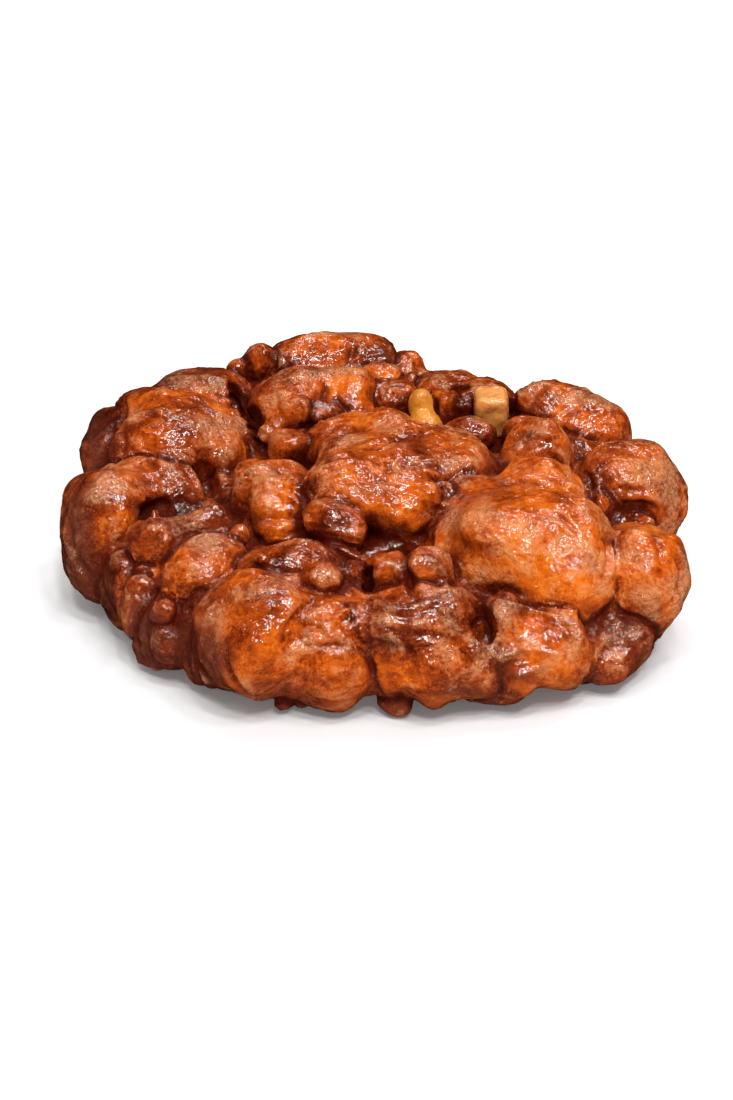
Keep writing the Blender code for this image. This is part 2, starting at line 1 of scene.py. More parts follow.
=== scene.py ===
# Apple fritter, looks: the dough, its set glaze, crumbs and two apple pieces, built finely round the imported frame.
import json
import bpy
import bmesh
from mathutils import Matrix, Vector

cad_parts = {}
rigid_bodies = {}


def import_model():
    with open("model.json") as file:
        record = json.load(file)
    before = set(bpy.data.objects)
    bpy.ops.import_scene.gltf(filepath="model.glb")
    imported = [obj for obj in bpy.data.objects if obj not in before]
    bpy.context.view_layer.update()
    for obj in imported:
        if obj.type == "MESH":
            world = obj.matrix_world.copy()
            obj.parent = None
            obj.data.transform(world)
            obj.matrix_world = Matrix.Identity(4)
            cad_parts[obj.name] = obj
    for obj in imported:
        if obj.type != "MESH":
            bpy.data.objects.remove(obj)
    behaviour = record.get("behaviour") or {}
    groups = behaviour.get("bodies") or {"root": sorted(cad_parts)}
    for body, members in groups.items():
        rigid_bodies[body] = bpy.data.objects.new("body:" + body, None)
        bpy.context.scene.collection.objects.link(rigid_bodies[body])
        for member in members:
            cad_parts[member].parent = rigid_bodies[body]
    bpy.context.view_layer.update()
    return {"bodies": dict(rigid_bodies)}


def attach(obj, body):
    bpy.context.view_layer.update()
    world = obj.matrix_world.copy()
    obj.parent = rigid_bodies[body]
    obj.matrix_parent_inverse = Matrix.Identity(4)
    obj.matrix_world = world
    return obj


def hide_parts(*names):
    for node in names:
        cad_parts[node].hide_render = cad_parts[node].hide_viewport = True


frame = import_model()

import math
import numpy as np

# ---------------------------------------------------------------- sizes, mm
WIDTH = 140.0                       # side to side, a large fritter
VIEW_TILT = math.radians(30.0)      # lobes are laid out in a view from 30 degrees above the front
VIEW_DISTANCE = 750.0               # from the eye to the aim point
VIEW_SCALE = 628.0 / WIDTH          # columns per mm at the aim point
VIEW_MIDDLE = (366.5, 550.0)        # column and row of the aim point
AIM = np.array([-2.1, 0.0, 10.5])
SHIFT = np.array([-0.04, -6.375, 0.0])  # brings the middle of the footprint over the origin
GRID_LOW = np.array([-76.0, -68.0, -5.0])
GRID_HIGH = np.array([76.0, 76.0, 44.0])
FILL_REACH = 2.1                    # the dough has run together in valleys narrower than about this
FILL_SINK = 0.35                    # how far below that a valley still sinks
FLOW = ((0.60, 16.0), (0.26, 8.0))   # how far and over what length the lobes' forms wander
FIT_GAP = 0.5                       # clearance round an apple piece in its pocket
GOLDEN = 0.6180339887               # spreads phases and directions evenly
RIM_LOBES = ((-38, 50, 12, 10, 9, 10), (-24, 55, 13, 9, 9, 10), (-8, 60, 14, 10, 9, 11), (6, 55, 13, 9, 9, 10),
             (18, 49, 13, 9, 9, 10), (31, 42, 12, 9, 9, 10), (44, 37, 11, 10, 9, 10), (54, 29, 11, 8, 9, 9),
             (57, 8, 10, 9, 9, 9), (56, -8, 9, 9, 10, 8.5), (54, -25, 9, 8, 9, 8.5), (44, -35, 8, 9, 8, 8),
             (-55, 37, 11, 8, 9, 10), (-58, 19, 11, 8, 10, 10), (-58, -1, 10, 8.5, 10, 9), (-52, -18, 10, 8, 9, 9),
             (-43, -31, 10, 9, 8, 9), (-33, -40, 8, 8, 8, 8), (-12, -40, 9, 12, 8, 9), (4, -38, 10, 12, 8, 9),
             (22, -36, 10, 12, 8, 9), (-18, 50, 22, 8, 6.5, 7), (-4, 50, 21, 8, 6.5, 7), (35, 40, 17, 8, 7, 8))
SPIRAL_LOBES = 30                   # lobes spread under the top ones, and again on the underside

# the view: unit vectors to the right, up and away, and the eye
RIGHT = np.array([1.0, 0.0, 0.0])
UP = np.array([0.0, math.sin(VIEW_TILT), math.cos(VIEW_TILT)])
AWAY = np.array([0.0, math.cos(VIEW_TILT), -math.sin(VIEW_TILT)])
EYE = AIM - VIEW_DISTANCE * AWAY

# lobes run together softly within one lump of dough, and meet in a crease between lumps. A lump's name is
# the first two letters of its lobes, except for these
LUMPS = {'L2a': 'L2a', 'L2b': 'L2b L2c L2d L2e L2f L3 L3a', 'B4f': 'B4f', 'B5a': 'B5a', 'B6a': 'B6a', 'B6b': 'B6b', 'B6c': 'B6c',
         'S0': 'S0 S1 S2 S4 S5 S6 S7 S8 S9 C3 C2 C2a C2c C2d', 'C2b': 'C2b', 'C5f': 'C5f', 'C6r': 'C6r',
         'C7a': 'C7a', 'C7b': 'C7b', 'C1b': 'C1b C1n', 'F1e': 'F1e F1b F1d F1g', 'F1c': 'F1c', 'F4': 'F4 F4r F4l',
         'R1b': 'R1b', 'R1g': 'R1g', 'L5b': 'L5b', 'L5k': 'L5k', 'L6c': 'L6c L6d', 'L6l': 'L6l',
         'G': 'G1 G2 G3 G4', 'B1b': 'B1b', 'B1s': 'B1s'}
# how softly a lump meets its neighbours, mm, where that isn't 1.5
JOIN = {'co': 3.0, 'un': 2.5, 'ri': 2.5, 'G': 3.0, 'S0': 2.2, 'B6c': 2.5, 'F4': 2.6, 'H1': 2.0, 'V1': 2.0,
        'V2': 2.0, 'C1b': 2.5, 'F1': 2.4, 'F1e': 4.0, 'F2': 4.0, 'F3': 3.0, 'B1s': 2.5, 'C2b': 1.8, 'C6r': 3.0, 'B4f': 0.9,
        'L6c': 2.0, 'F1c': 2.0, 'S3': 1.6, 'L5k': 2.5, 'B5e': 0.8}

LOBES = []
HOLLOWS = []


def lump_of(name):
    for lump, names in LUMPS.items():
        if name in names.split():
            return lump
    return name[:2]



def seen(column, row, height):
    """The point at this height that shows at this column and row."""
    f = VIEW_SCALE * VIEW_DISTANCE
    ray = AWAY + RIGHT * (column - VIEW_MIDDLE[0]) / f - UP * (row - VIEW_MIDDLE[1]) / f
    return EYE + ray * ((height - EYE[2]) / ray[2])


def turned(yaw, tip, roll):
    y, t, r = (math.radians(v) for v in (yaw, tip, roll))
    about_z = np.array([[math.cos(y), -math.sin(y), 0], [math.sin(y), math.cos(y), 0], [0, 0, 1]])
    about_x = np.array([[1, 0, 0], [0, math.cos(t), -math.sin(t)], [0, math.sin(t), math.cos(t)]])
    about_y = np.array([[math.cos(r), 0, math.sin(r)], [0, 1, 0], [-math.sin(r), 0, math.cos(r)]])
    return about_z @ about_x @ about_y


def place(table, name, centre, half, yaw, tip, roll, k, box, w, part):
    table.append(dict(name=name, c=np.asarray(centre, float), r=np.array(half, float), R=turned(yaw, tip, roll),
                      k=k, box=box, w=w, part=part, lump=lump_of(name), ph=2 * math.pi * ((len(table) + 1) * GOLDEN % 1.0)))


def lobe(name, column, row, height, half, yaw=0, tip=0, roll=0, k=1.2, box=0, w=1.0, part='dough'):
    """One lobe: where it shows, its height, half sizes, turn, how softly it joins (k), and box for a blocky one."""
    place(LOBES, name, seen(column, row, height), half, yaw, tip, roll, k, box, w, part)


def hollow(name, column, row, height, half, yaw=0, tip=0, roll=0, k=1.2, box=0, w=0.0):
    place(HOLLOWS, name, seen(column, row, height), half, yaw, tip, roll, k, box, w, 'dough')


def lobe_at(name, centre, half, yaw=0, k=1.0):
    place(LOBES, name, centre, half, yaw, 0, 0, k, 0, 1.0, 'dough')


# ------------------------------------------------------- lobes of the dough
lobe('core',376,526,13.5,(55,48,8.5),k=3,w=0)
# left side
lobe('L1',115,526,16,(12.1,13.5,13.7))
lobe('L1t',150,489,21,(11,7,6.5),k=4)
lobe('L1r',178,497,20,(7.5,7,6.5),roll=10,k=4)
lobe('L1m',110,498,25,(6,6,4),k=4)
lobe('L1n',118,522,21,(5,6.5,6.5),k=4)
lobe('L1c',109,564,11,(8.6,9,9),k=4)
lobe('L2a',112,456,16,(6.8,11.5,11.5),k=4)
lobe('L2d',141,432,19,(8,9,10),k=3)
lobe('L2b',178,458,22,(16,11,12),roll=12,k=3)
lobe('L2c',178,429,24,(14,8,9),roll=2,k=3)
lobe('L2e',238,440,21.5,(6.5,6,5),roll=18,k=3)
lobe('L2f',110,436,22,(4,5,5),k=3)
lobe('L3',198,408,22,(13.5,9,9),k=3)
lobe('L3a',223,398,24,(6,7,6),k=3)
lobe('H1',233,463,18.5,(6,5,5),k=2.5)
lobe('V1',217,497,18.5,(5.5,6,5),k=2.5)
lobe('V2',236,512,18.5,(4.5,5,5.5),k=2.5)
# back, with the apple pieces
lobe('B1',262,361,28,(4.4,4.5,4.4),w=0.5)
lobe('B1b',235,370,27,(2.6,2.6,2.8),w=0.5)
lobe('B1s',262,392,18,(8,8,10),k=2.5)
lobe('B2',317,364,26,(11,9,7),k=4.5)
lobe('B2r',367,361,26,(7.4,8,6.6),k=4)
lobe('B2l',290,374,24.5,(5.5,7,7.5),k=2.5)
lobe('B3',403,370,23,(4.6,5,5.2),roll=30,k=3)
lobe('B3b',385,377,27,(5.5,4,3.4),roll=18)
lobe('B3c',452,389,20,(8,6,4.8),roll=10,k=3)
lobe('B4',300,403,27,(9.3,8,7.4),k=4)
lobe('B4r',349,404,27,(6.4,8,7.4),k=4)
lobe('B4t',326,392,29,(11,6,4),k=5)
lobe('B4l',264,415,25,(5.5,7,6),k=4)
lobe('B4b',286,431,24,(6,5,4.5),k=4)
lobe('B4f',322,415,28.5,(5,3.5,3),roll=8,k=2.5)
lobe('B4g',357,419,27,(4,3,2.6),k=2.5)
lobe('B4i',275,404,30,(3,2.6,2.6),k=5)
lobe('B4j',293,390,31.5,(4,3,3),k=5)
lobe('B4k',297,412,30,(3.4,3,3),k=5)
lobe('B4n',268,433,26,(2.6,2.6,2.6),k=4)
lobe('B5a',410,382,27,(2.5,2.5,2.4))
lobe('B5b',446,399,24.5,(8,6,4.6),roll=22,k=3)
lobe('B5c',484,400,25.5,(7.2,6,5),roll=10,k=3)
lobe('B5d',432,402,21,(7,7,6),k=3)
lobe('B6a',394,402,27,(5.2,4.4,4.4),yaw=10,box=2.6,k=3)
lobe('B6b',449,411,26,(3.8,4,4.2),yaw=25,roll=20,box=1.2,k=3)
lobe('B5e',467,412,25.5,(2.4,4,4.4),box=1.2,k=2)
lobe('B6c',469,434,26.5,(6.2,4.6,3.8),k=3)
lobe('A1u',421,405,30,(2.9,2.8,4),w=0,part='apple_piece_1')
lobe('A1l',425,425,27,(4,3.5,3),w=0,part='apple_piece_1')
lobe('A2',491,413,27,(3.7,4,5.2),box=1.4,part='apple_piece_2')
lobe('B7',549,413,22.5,(9,8,7.5),yaw=-20,roll=8,k=4)
lobe('B7m',580,425,21,(8.5,8,7.3),yaw=-25,roll=12,k=4)
lobe('B7r',606,433,19.5,(6,7,6.8),k=4)
lobe('B7f',592,447,19.5,(3.6,3.4,2.2))
# right side
lobe('R1',627,489,19.5,(12,11,10.8),k=3)
lobe('R1e',650,492,19.5,(5.4,9,8.5),k=3)
lobe('R1f',604,480,23,(5,5,5.5),k=3)
lobe('R1d',640,513,12,(9.2,11,9),k=3)
lobe('R1b',602,508,23.5,(2.5,2.5,2.6),k=0.8)
lobe('R1g',632,519,18.5,(5,3.2,2.4),k=0.8)
lobe('R2',643,581,17,(10.3,12.3,11.9),k=3)
lobe('R2a',630,546,23,(5.5,6,4.5),k=3)
lobe('R2c',667,562,22,(3.4,5.5,5.5),k=3)
lobe('R2d',641,611,9,(6,8,7),k=3)
lobe('R3',604,665,6,(4.8,4.8,4.6),w=0.3)
lobe('R3b',620,664,6,(3.2,3.4,3.8),k=3)
lobe('R3d',624,637,9.5,(7,6.5,6),k=4)
lobe('R3e',590,641,9,(4,5,5),k=3)
lobe('R3f',597,619,14,(3.6,4,4.4),k=3)
lobe('G1',592,604,13,(5.5,7,7),k=3)
lobe('G2',592,580,14,(8,9,7),k=3)
lobe('G3',590,520,16,(8,9,8),k=3)
lobe('G4',577,472,17,(6.5,9,8),k=3)
# front, with the crumbs at its foot
lobe('F1',262,641,13.5,(13.5,13.0,12.6),k=3)
lobe('F1c',214,656,9,(4.5,7,7.3))
lobe('F1h',219,616,19,(5.6,6,6.4),k=2)
lobe('F1a',250,589,24.5,(5,4,3.6),k=5)
lobe('F1i',274,605,24.5,(5.5,4.5,4),k=5)
lobe('F1e',330,648,12,(10,12,11),k=3.5)
lobe('F1b',330,672,8.5,(9,8,7.4),k=3.5)
lobe('F1d',322,627,20,(3.2,3.5,3.5),k=5)
lobe('F1g',350,628,19,(5,4,4),k=5)
lobe('F4l',342,601,20,(6,5,4),k=5)
lobe('F2a',392,662,10,(5.5,7.5,8),k=3.5)
lobe('F2b',436,664,11,(8.5,9,8.6),k=4)
lobe('F2c',474,663,10,(5.5,8,7.5),k=3.5)
lobe('F2e',470,645,15,(5,5,5),k=4)
lobe('F2d',385,637,17,(3.6,3.6,3.6),k=4.5)
lobe('F4',405,619,20.5,(13,8,6),k=4.5)
lobe('F4r',457,619,19,(5,7,6.5),k=4.5)
lobe('F3l',505,617,19.5,(4.4,5.5,5.2),k=4.5)
lobe('F3k',500,648,14,(4,4,4),k=4.5)
lobe('F3m',512,668,9,(5.5,7,6.4),k=3.5)
lobe('F3b',490,679,5,(8,6,4.5),k=3.5)
lobe('F3',547,645,12,(8.5,9,8.6),k=3.5)
lobe('F3r',567,648,11.5,(3.8,8,8),k=4.5)
lobe('F3s',560,658,6,(6,5,4),k=3.5)
lobe('Q1',397,703,2.3,(3.5,2.7,2.5),k=1)
lobe('Q2',448,697,2,(2,1.8,1.5),k=0.6)
lobe('Q3',284,706,1.4,(2.3,1.7,1.4),k=0.6)
lobe('Q4',301,702,1.9,(2.2,1.7,1.5),k=0.6)
# left front
lobe('L4',184,529,26,(10.2,3.4,3.3),roll=-15,box=2.6,k=1.2)
lobe('L4e',153,543,24,(4.2,4,5),roll=-15,box=2.2,k=1.2)
lobe('L5',205,576,20,(9.3,8.5,7.8),k=2.8)
lobe('L5a',181,588,17,(4.6,5.6,5.4),k=2.8)
lobe('L5b',200,599,19,(2.5,2.6,2.6),k=2.8)
lobe('L5u',212,556,23.5,(7,5,4),k=2.8)
lobe('L5k',238,537,25.6,(2.4,2.4,2.4),k=2.8)
lobe('L6a',127,582,14,(5.5,7,7.5),k=2.8)
lobe('L6b',142,608,12,(4.8,7,8),k=2.8)
lobe('L6l',147,573,19,(3.5,2.6,1.8),k=2.8)
lobe('L7',162,613,16.5,(1.7,2.0,2.6),roll=30,box=1.2)
lobe('L6c',172,638,9,(5,6.5,6.5),k=2.8)
lobe('L6d',155,645,5,(4.3,6,4.4),k=2.8)
lobe('Q5',172,659,2.5,(2.6,2.2,1.9),k=0.6)
# middle
lobe('C4u',276,480,27.5,(7.6,6,4.6),roll=4,k=3)
lobe('C4v',250,488,26,(3.6,4,4.6),k=3)
lobe('C4',281,509,25,(6.2,5.4,7),yaw=-8,tip=16,box=3.4,k=2.4)
lobe('C4w',283,530,23.5,(6,4,3.6),k=3)
lobe('C4b',248,512,21,(4,5,6),k=3)
lobe('C5',336,526,28,(8.6,4.6,4.6),yaw=-35,roll=10,k=2.2)
lobe('C5a',311,502,28,(3.6,3.6,3.6),k=2.2)
lobe('C5f',346,556,23.5,(7,2.8,3),yaw=-35,roll=12,k=2.2)
lobe('C6',299,566,25,(9.3,7,5.5),k=2.2)
lobe('C6p',322,578,26.5,(4,3.2,3),k=3.5)
lobe('C6r',355,576,24,(3.4,3.4,3.4),k=3)
lobe('C6l',262,569,24,(4,4.5,4),k=2.2)
lobe('C6g',267,563,28,(3.2,1.2,1.2),roll=28,yaw=-15,k=0.5)
lobe('C6b',294,588,22.5,(5,3.2,2.6),k=2.2)
lobe('C7a',388,581,24,(4.3,3.8,5.6),yaw=15,box=2.0)
lobe('C7b',427,577,25,(4.4,4.2,5.6),yaw=-10,box=2.4)
lobe('C2',372,489,29.5,(14,9.5,7.5),roll=6,k=3)
lobe('C2a',343,484,31.5,(6,5,4),k=5)
lobe('C2d',404,507,28,(9.5,8,7.2),roll=10,k=5)
lobe('C2c',425,493,33,(3,3,2.6),k=2.5)
lobe('C2b',441,498,30,(3.6,3.8,3.4),k=2.5)
lobe('C1',536,556,23.5,(16,14,10.5),k=3)
lobe('C1c',567,591,19.5,(9.5,8.5,8),k=5)
lobe('C1f',474,508,27,(9,8,6),k=6)
lobe('C1v',535,525,29,(15,9,6.5),k=6)
lobe('C1d',470,545,23.5,(9,9,7),k=5)
lobe('C1g',461,575,20,(8.5,8.5,7),k=5)
lobe('C1u',536,501,26,(11,10,9),k=4.5)
lobe('C1b',535,457,27,(8,8,8),k=4.5)
lobe('C1n',530,434,25.5,(6,5,4.5),k=4.5)
lobe('C1e',500,530,32,(8,6,4),k=5)
lobe('C3',385,429,32,(4.2,4,4.2),k=3.5)
lobe('S0',398,470,29,(17,7,5.5),k=7)
lobe('S1',400,455,27,(18,8,6),k=6)
lobe('S2',452,471,27,(11,7.5,5.6),k=6)
lobe('S3',292,447,27,(4.4,4.2,3.6),box=2.4)
lobe('S4',340,445,27,(9,7,5),k=6)
lobe('S5',345,432,30,(5,3,2.6),k=6)
lobe('S6',420,450,31,(6,4,3),k=6)
lobe('S7',442,471,31,(7,5,4),k=6)
lobe('S8',463,464,29.5,(3.2,3,2.6),k=6)
lobe('S9',360,453,31.5,(7,4,3),k=6)
# hollows between the lobes
hollow('p1',484,618,22,(2.6,4,8),w=0)
hollow('p2',398,551,24,(9,4.5,6),w=0)
hollow('p3',208,480,23.5,(2.6,6,5),yaw=15,w=0)
hollow('p4',462,401,26,(2.5,3.2,4.5),w=0)
hollow('p5',509,417,24,(1.9,4,5.5),w=0)
hollow('p6',640,509,21,(4.6,3,2.4),roll=8,w=0)
hollow('p7',611,488,26,(2.2,2.6,2.6),w=0)
hollow('p8',147,591,19,(2,2.2,2.2),w=0)
hollow('p9',309,464,32,(1.6,2,3),w=0)
hollow('p10',377,406,26,(1.6,3,5.5),w=0)
hollow('p11',372,583,24,(1.7,2.3,3.6),w=0)
hollow('p12',238,405,25.5,(2.2,6,6.5),yaw=22,w=0)
hollow('p12b',255,430,24.5,(1.8,5,5.5),yaw=26,w=0)
hollow('p13',594,621,18.5,(3.2,4,5),w=0)
hollow('p14',160,510,22.5,(6.0,2.1,3.6),roll=-8,w=0)
hollow('p15',143,523,22,(2,4.5,5),w=0)
# the rim and the layers that the top lobes cover
for i, (x, y, z, a, b, c) in enumerate(RIM_LOBES):
    lobe_at('rim%d' % i, (x, y, z), (a, b, c), 40 * i)
for i in range(SPIRAL_LOBES):
    reach, turn = math.sqrt((i + 0.5) / SPIRAL_LOBES), 2 * math.pi * (1 - GOLDEN) * i
    s = 1 + 0.18 * math.sin(2.1 * i)
    lobe_at('under_top%d' % i, (51.5 * reach * math.cos(turn + 0.6), 4 + 46 * reach * math.sin(turn + 0.6), 16.5),
            (9 * s, 8.5 * s, 6.4 + 0.9 * math.sin(1.7 * i)), 53 * i)
for i in range(SPIRAL_LOBES):
    reach, turn = math.sqrt((i + 0.5) / SPIRAL_LOBES), 2 * math.pi * (1 - GOLDEN) * i
    s = 1 + 0.15 * math.sin(2.7 * i)
    lobe_at('underside%d' % i, (55 * reach * math.cos(turn + 2.0) - 0.5, 4 + 49 * reach * math.sin(turn + 2.0), 6.6),
            (9.5 * s, 8.5 * s, 7.1 + 0.5 * math.sin(1.3 * i)), 31 * i, 0.9)


# ------------------------------------------------------------ field to mesh
def soft_min(a, b, k):
    h = np.maximum(k - np.abs(a - b), 0) / k
    return np.minimum(a, b) - h * h * k * 0.25


def distance(l, p):
    """Signed distance from points p to one lobe, with its own slow unevenness."""
    q = (p - l['c']) @ l['R']
    a = q / l['r']
    if l['box']:
        e = np.abs(q) - (l['r'] - l['box'])
        d = np.sqrt((np.maximum(e, 0) ** 2).sum(-1)) + np.minimum(e.max(-1), 0) - l['box']
    else:
        b = a / l['r']
        k0 = np.sqrt((a * a).sum(-1))
        d = k0 * (k0 - 1) / (np.sqrt((b * b).sum(-1)) + 1e-9)
    if l['w'] > 0:
        f = l['ph']
        x, y, z = a[..., 0], a[..., 1], a[..., 2]
        size = l['w'] * min(0.030 * l['r'].min(), 0.32)
        d = d + size * (np.sin(2.6 * x + 1.9 * y + f) + np.sin(3.4 * y - 2.2 * z + 2.1 * f)
                        + np.sin(3.9 * z - 2.7 * x + 3.7 * f) + 0.6 * np.sin(5.9 * x + 4.1 * z - 4.7 * y + 5.3 * f))
    return d


def drift(p):
    """How far the dough has flowed from each lobe's plain form at points p, mm."""
    out = np.zeros_like(p)
    for reach, length in FLOW:
        for i in range(4):
            a, b = 2 * math.pi * ((i + 1) * GOLDEN % 1.0), math.acos(1 - 2 * ((i + 0.5) * 0.7548776662 % 1.0))
            way = np.array([math.sin(b) * math.cos(a + length), math.sin(b) * math.sin(a + length), math.cos(b)])
            turn = (p @ way) * (2 * math.pi / length) + 2.4 * i + length
            for ax in range(3):
                out[..., ax] += 0.5 * reach * np.sin(turn + 2.1 * ax + 0.7 * i * ax)
    return out


def box_of(l, margin, low, n, h):
    """The part of the grid that a lobe can reach."""
    reach = np.abs(l['R']) @ l['r'] + margin
    i0 = np.clip(((l['c'] - reach - low) / h).astype(int), 0, n - 1)
    i1 = np.clip(((l['c'] + reach - low) / h).astype(int) + 2, i0 + 1, n)
    return tuple(slice(int(a), int(b)) for a, b in zip(i0, i1))


def lumps(part):
    """The lobes of one part, gathered by the lump that they belong to."""
    found = {}
    for l in LOBES:
        if l['part'] == part:
            found.setdefault(l['lump'], []).append(l)
    return list(found.values())


def spread(g, h, size):
    """Gaussian mean of a field, size in mm."""
    n = int(2.6 * size / h)
    w = np.exp(-0.5 * (np.arange(-n, n + 1) * h / size) ** 2)
    w /= w.sum()
    g = g.astype(np.float32)
    for ax in range(3):
        p = np.pad(g, [(n, n) if i == ax else (0, 0) for i in range(3)], mode='edge')
        out = np.zeros_like(g)
        for k, share in enumerate(w):
            cut = [slice(None)] * 3
            cut[ax] = slice(k, k + g.shape[ax])
            out += np.float32(share) * p[tuple(cut)]
        g = out
    return g.astype(float)


def field(part, h, low=GRID_LOW, high=GRID_HIGH):
    """Distance to the joined lobes of one part, on a grid of pitch h."""
    n = ((high - low) / h).astype(int) + 1
    g = np.full(n, 8.0)
    every = np.stack(np.meshgrid(*[low[i] + h * np.arange(n[i]) for i in range(3)], indexing='ij'), -1)
    moved = every + drift(every) if part == 'dough' else every
    for lump in lumps(part):
        boxes = [box_of(l, 9, low, n, h) for l in lump]
        whole = tuple(slice(min(b[i].start for b in boxes), max(b[i].stop for b in boxes)) for i in range(3))
        own = np.full([c.stop - c.start for c in whole], 8.0)
        for l, b in zip(lump, boxes):
            cut = tuple(slice(c.start - w.start, c.stop - w.start) for c, w in zip(b, whole))
            own[cut] = soft_min(own[cut], distance(l, moved[b]), l['k'] if l['box'] else max(l['k'], 1.0 + 0.38 * l['r'].min()))
        g[whole] = soft_min(g[whole], own, JOIN.get(lump[0]['lump'], 1.5))
    if part == 'dough':
        g = soft_min(g, spread(g, h, FILL_REACH) + FILL_SINK, 0.8)
        for l in HOLLOWS:
            cut = box_of(l, 6, low, n, h)
            g[cut] = -soft_min(-g[cut], distance(l, every[cut]), 1.2)
    return g


def well_joined(g):
    """Fill the few grid squares and cubes that touch only across a corner, so that the skin is one simple surface."""
    g = g.copy()
    for _ in range(30):
        inside = g < 0
        fill = np.zeros_like(inside)
        for ax in range(3):
            u, v = [i for i in range(3) if i != ax]
            s = [[slice(None)] * 3 for _ in range(4)]
            for k, (du, dv) in enumerate(((0, 0), (1, 0), (0, 1), (1, 1))):
                s[k][u] = slice(1, None) if du else slice(None, -1)
                s[k][v] = slice(1, None) if dv else slice(None, -1)
                s[k] = tuple(s[k])
            a, b, c, d = (inside[t] for t in s)
            bad = (a & d & ~b & ~c) | (~a & ~d & b & c)
            for t in s:
                fill[t] |= bad
        corners = [tuple(slice(1, None) if d else slice(None, -1) for d in (i, j, k))
                   for i in (0, 1) for j in (0, 1) for k in (0, 1)]
        total = sum(inside[t].astype(np.int8) for t in corners)
        for t, o in zip(corners[:4], corners[7:3:-1]):
            bad = ((total == 2) & inside[t] & inside[o]) | ((total == 6) & ~inside[t] & ~inside[o])
            for q in corners:
                fill[q] |= bad
        fill &= ~inside
        if not fill.any():
            return g
        g[fill] = -0.02
    return g


def skin(g, h, low=GRID_LOW):
    """Vertices (mm) and quads of the zero surface of g, keeping only its largest piece."""
    g = well_joined(g)
    inside = g < 0
    total = sum(inside[tuple(slice(1, None) if d else slice(None, -1) for d in (i, j, k))].astype(np.int8)
                for i in (0, 1) for j in (0, 1) for k in (0, 1))
    mixed = (total > 0) & (total < 8)
    cells = np.argwhere(mixed)
    points = np.zeros((len(cells), 3))
    count = np.zeros(len(cells))
    for ax in range(3):
        for du in (0, 1):
            for dv in (0, 1):
                o = np.zeros(3, int)
                o[(ax + 1) % 3], o[(ax + 2) % 3] = du, dv
                i0 = cells + o
                i1 = i0.copy()
                i1[:, ax] += 1
                a, b = g[tuple(i0.T)], g[tuple(i1.T)]
                m = (a < 0) != (b < 0)
                q = i0[m].astype(float)
                q[:, ax] += a[m] / (a[m] - b[m])
                points[m] += q
                count[m] += 1
    points = low + h * points / count[:, None]
    ids = np.full(mixed.shape, -1, np.int64)
    ids[mixed] = np.arange(len(cells))
    quads = []
    for ax in range(3):
        u, v = (ax + 1) % 3, (ax + 2) % 3
        lower, upper = [slice(None)] * 3, [slice(None)] * 3
        lower[ax], upper[ax] = slice(None, -1), slice(1, None)
        a, b = inside[tuple(lower)], inside[tuple(upper)]
        e = np.argwhere(a != b)
        e = e[(e[:, u] > 0) & (e[:, v] > 0) & (e[:, u] < mixed.shape[u]) & (e[:, v] < mixed.shape[v])]
        eu, ev = np.eye(3, dtype=int)[u], np.eye(3, dtype=int)[v]
        q = np.stack([ids[tuple((e - s).T)] for s in (eu + ev, ev, 0 * eu, eu)], 1)
        out = a[tuple(e.T)]
        quads.append(np.where(out[:, None], q, q[:, ::-1]))
    quads = np.concatenate(quads)
    label = np.arange(len(points))
    while True:
        low_label = label[quads].min(1)
        new = label.copy()
        np.minimum.at(new, quads.ravel(), np.repeat(low_label, 4))
        new = new[new]
        if (new == label).all():
            break
        label = new
    names, size = np.unique(label, return_counts=True)
    keep = label == names[size.argmax()]
    quads = quads[keep[quads[:, 0]]]
    number = np.cumsum(keep) - 1
    return points[keep] + SHIFT, number[quads]

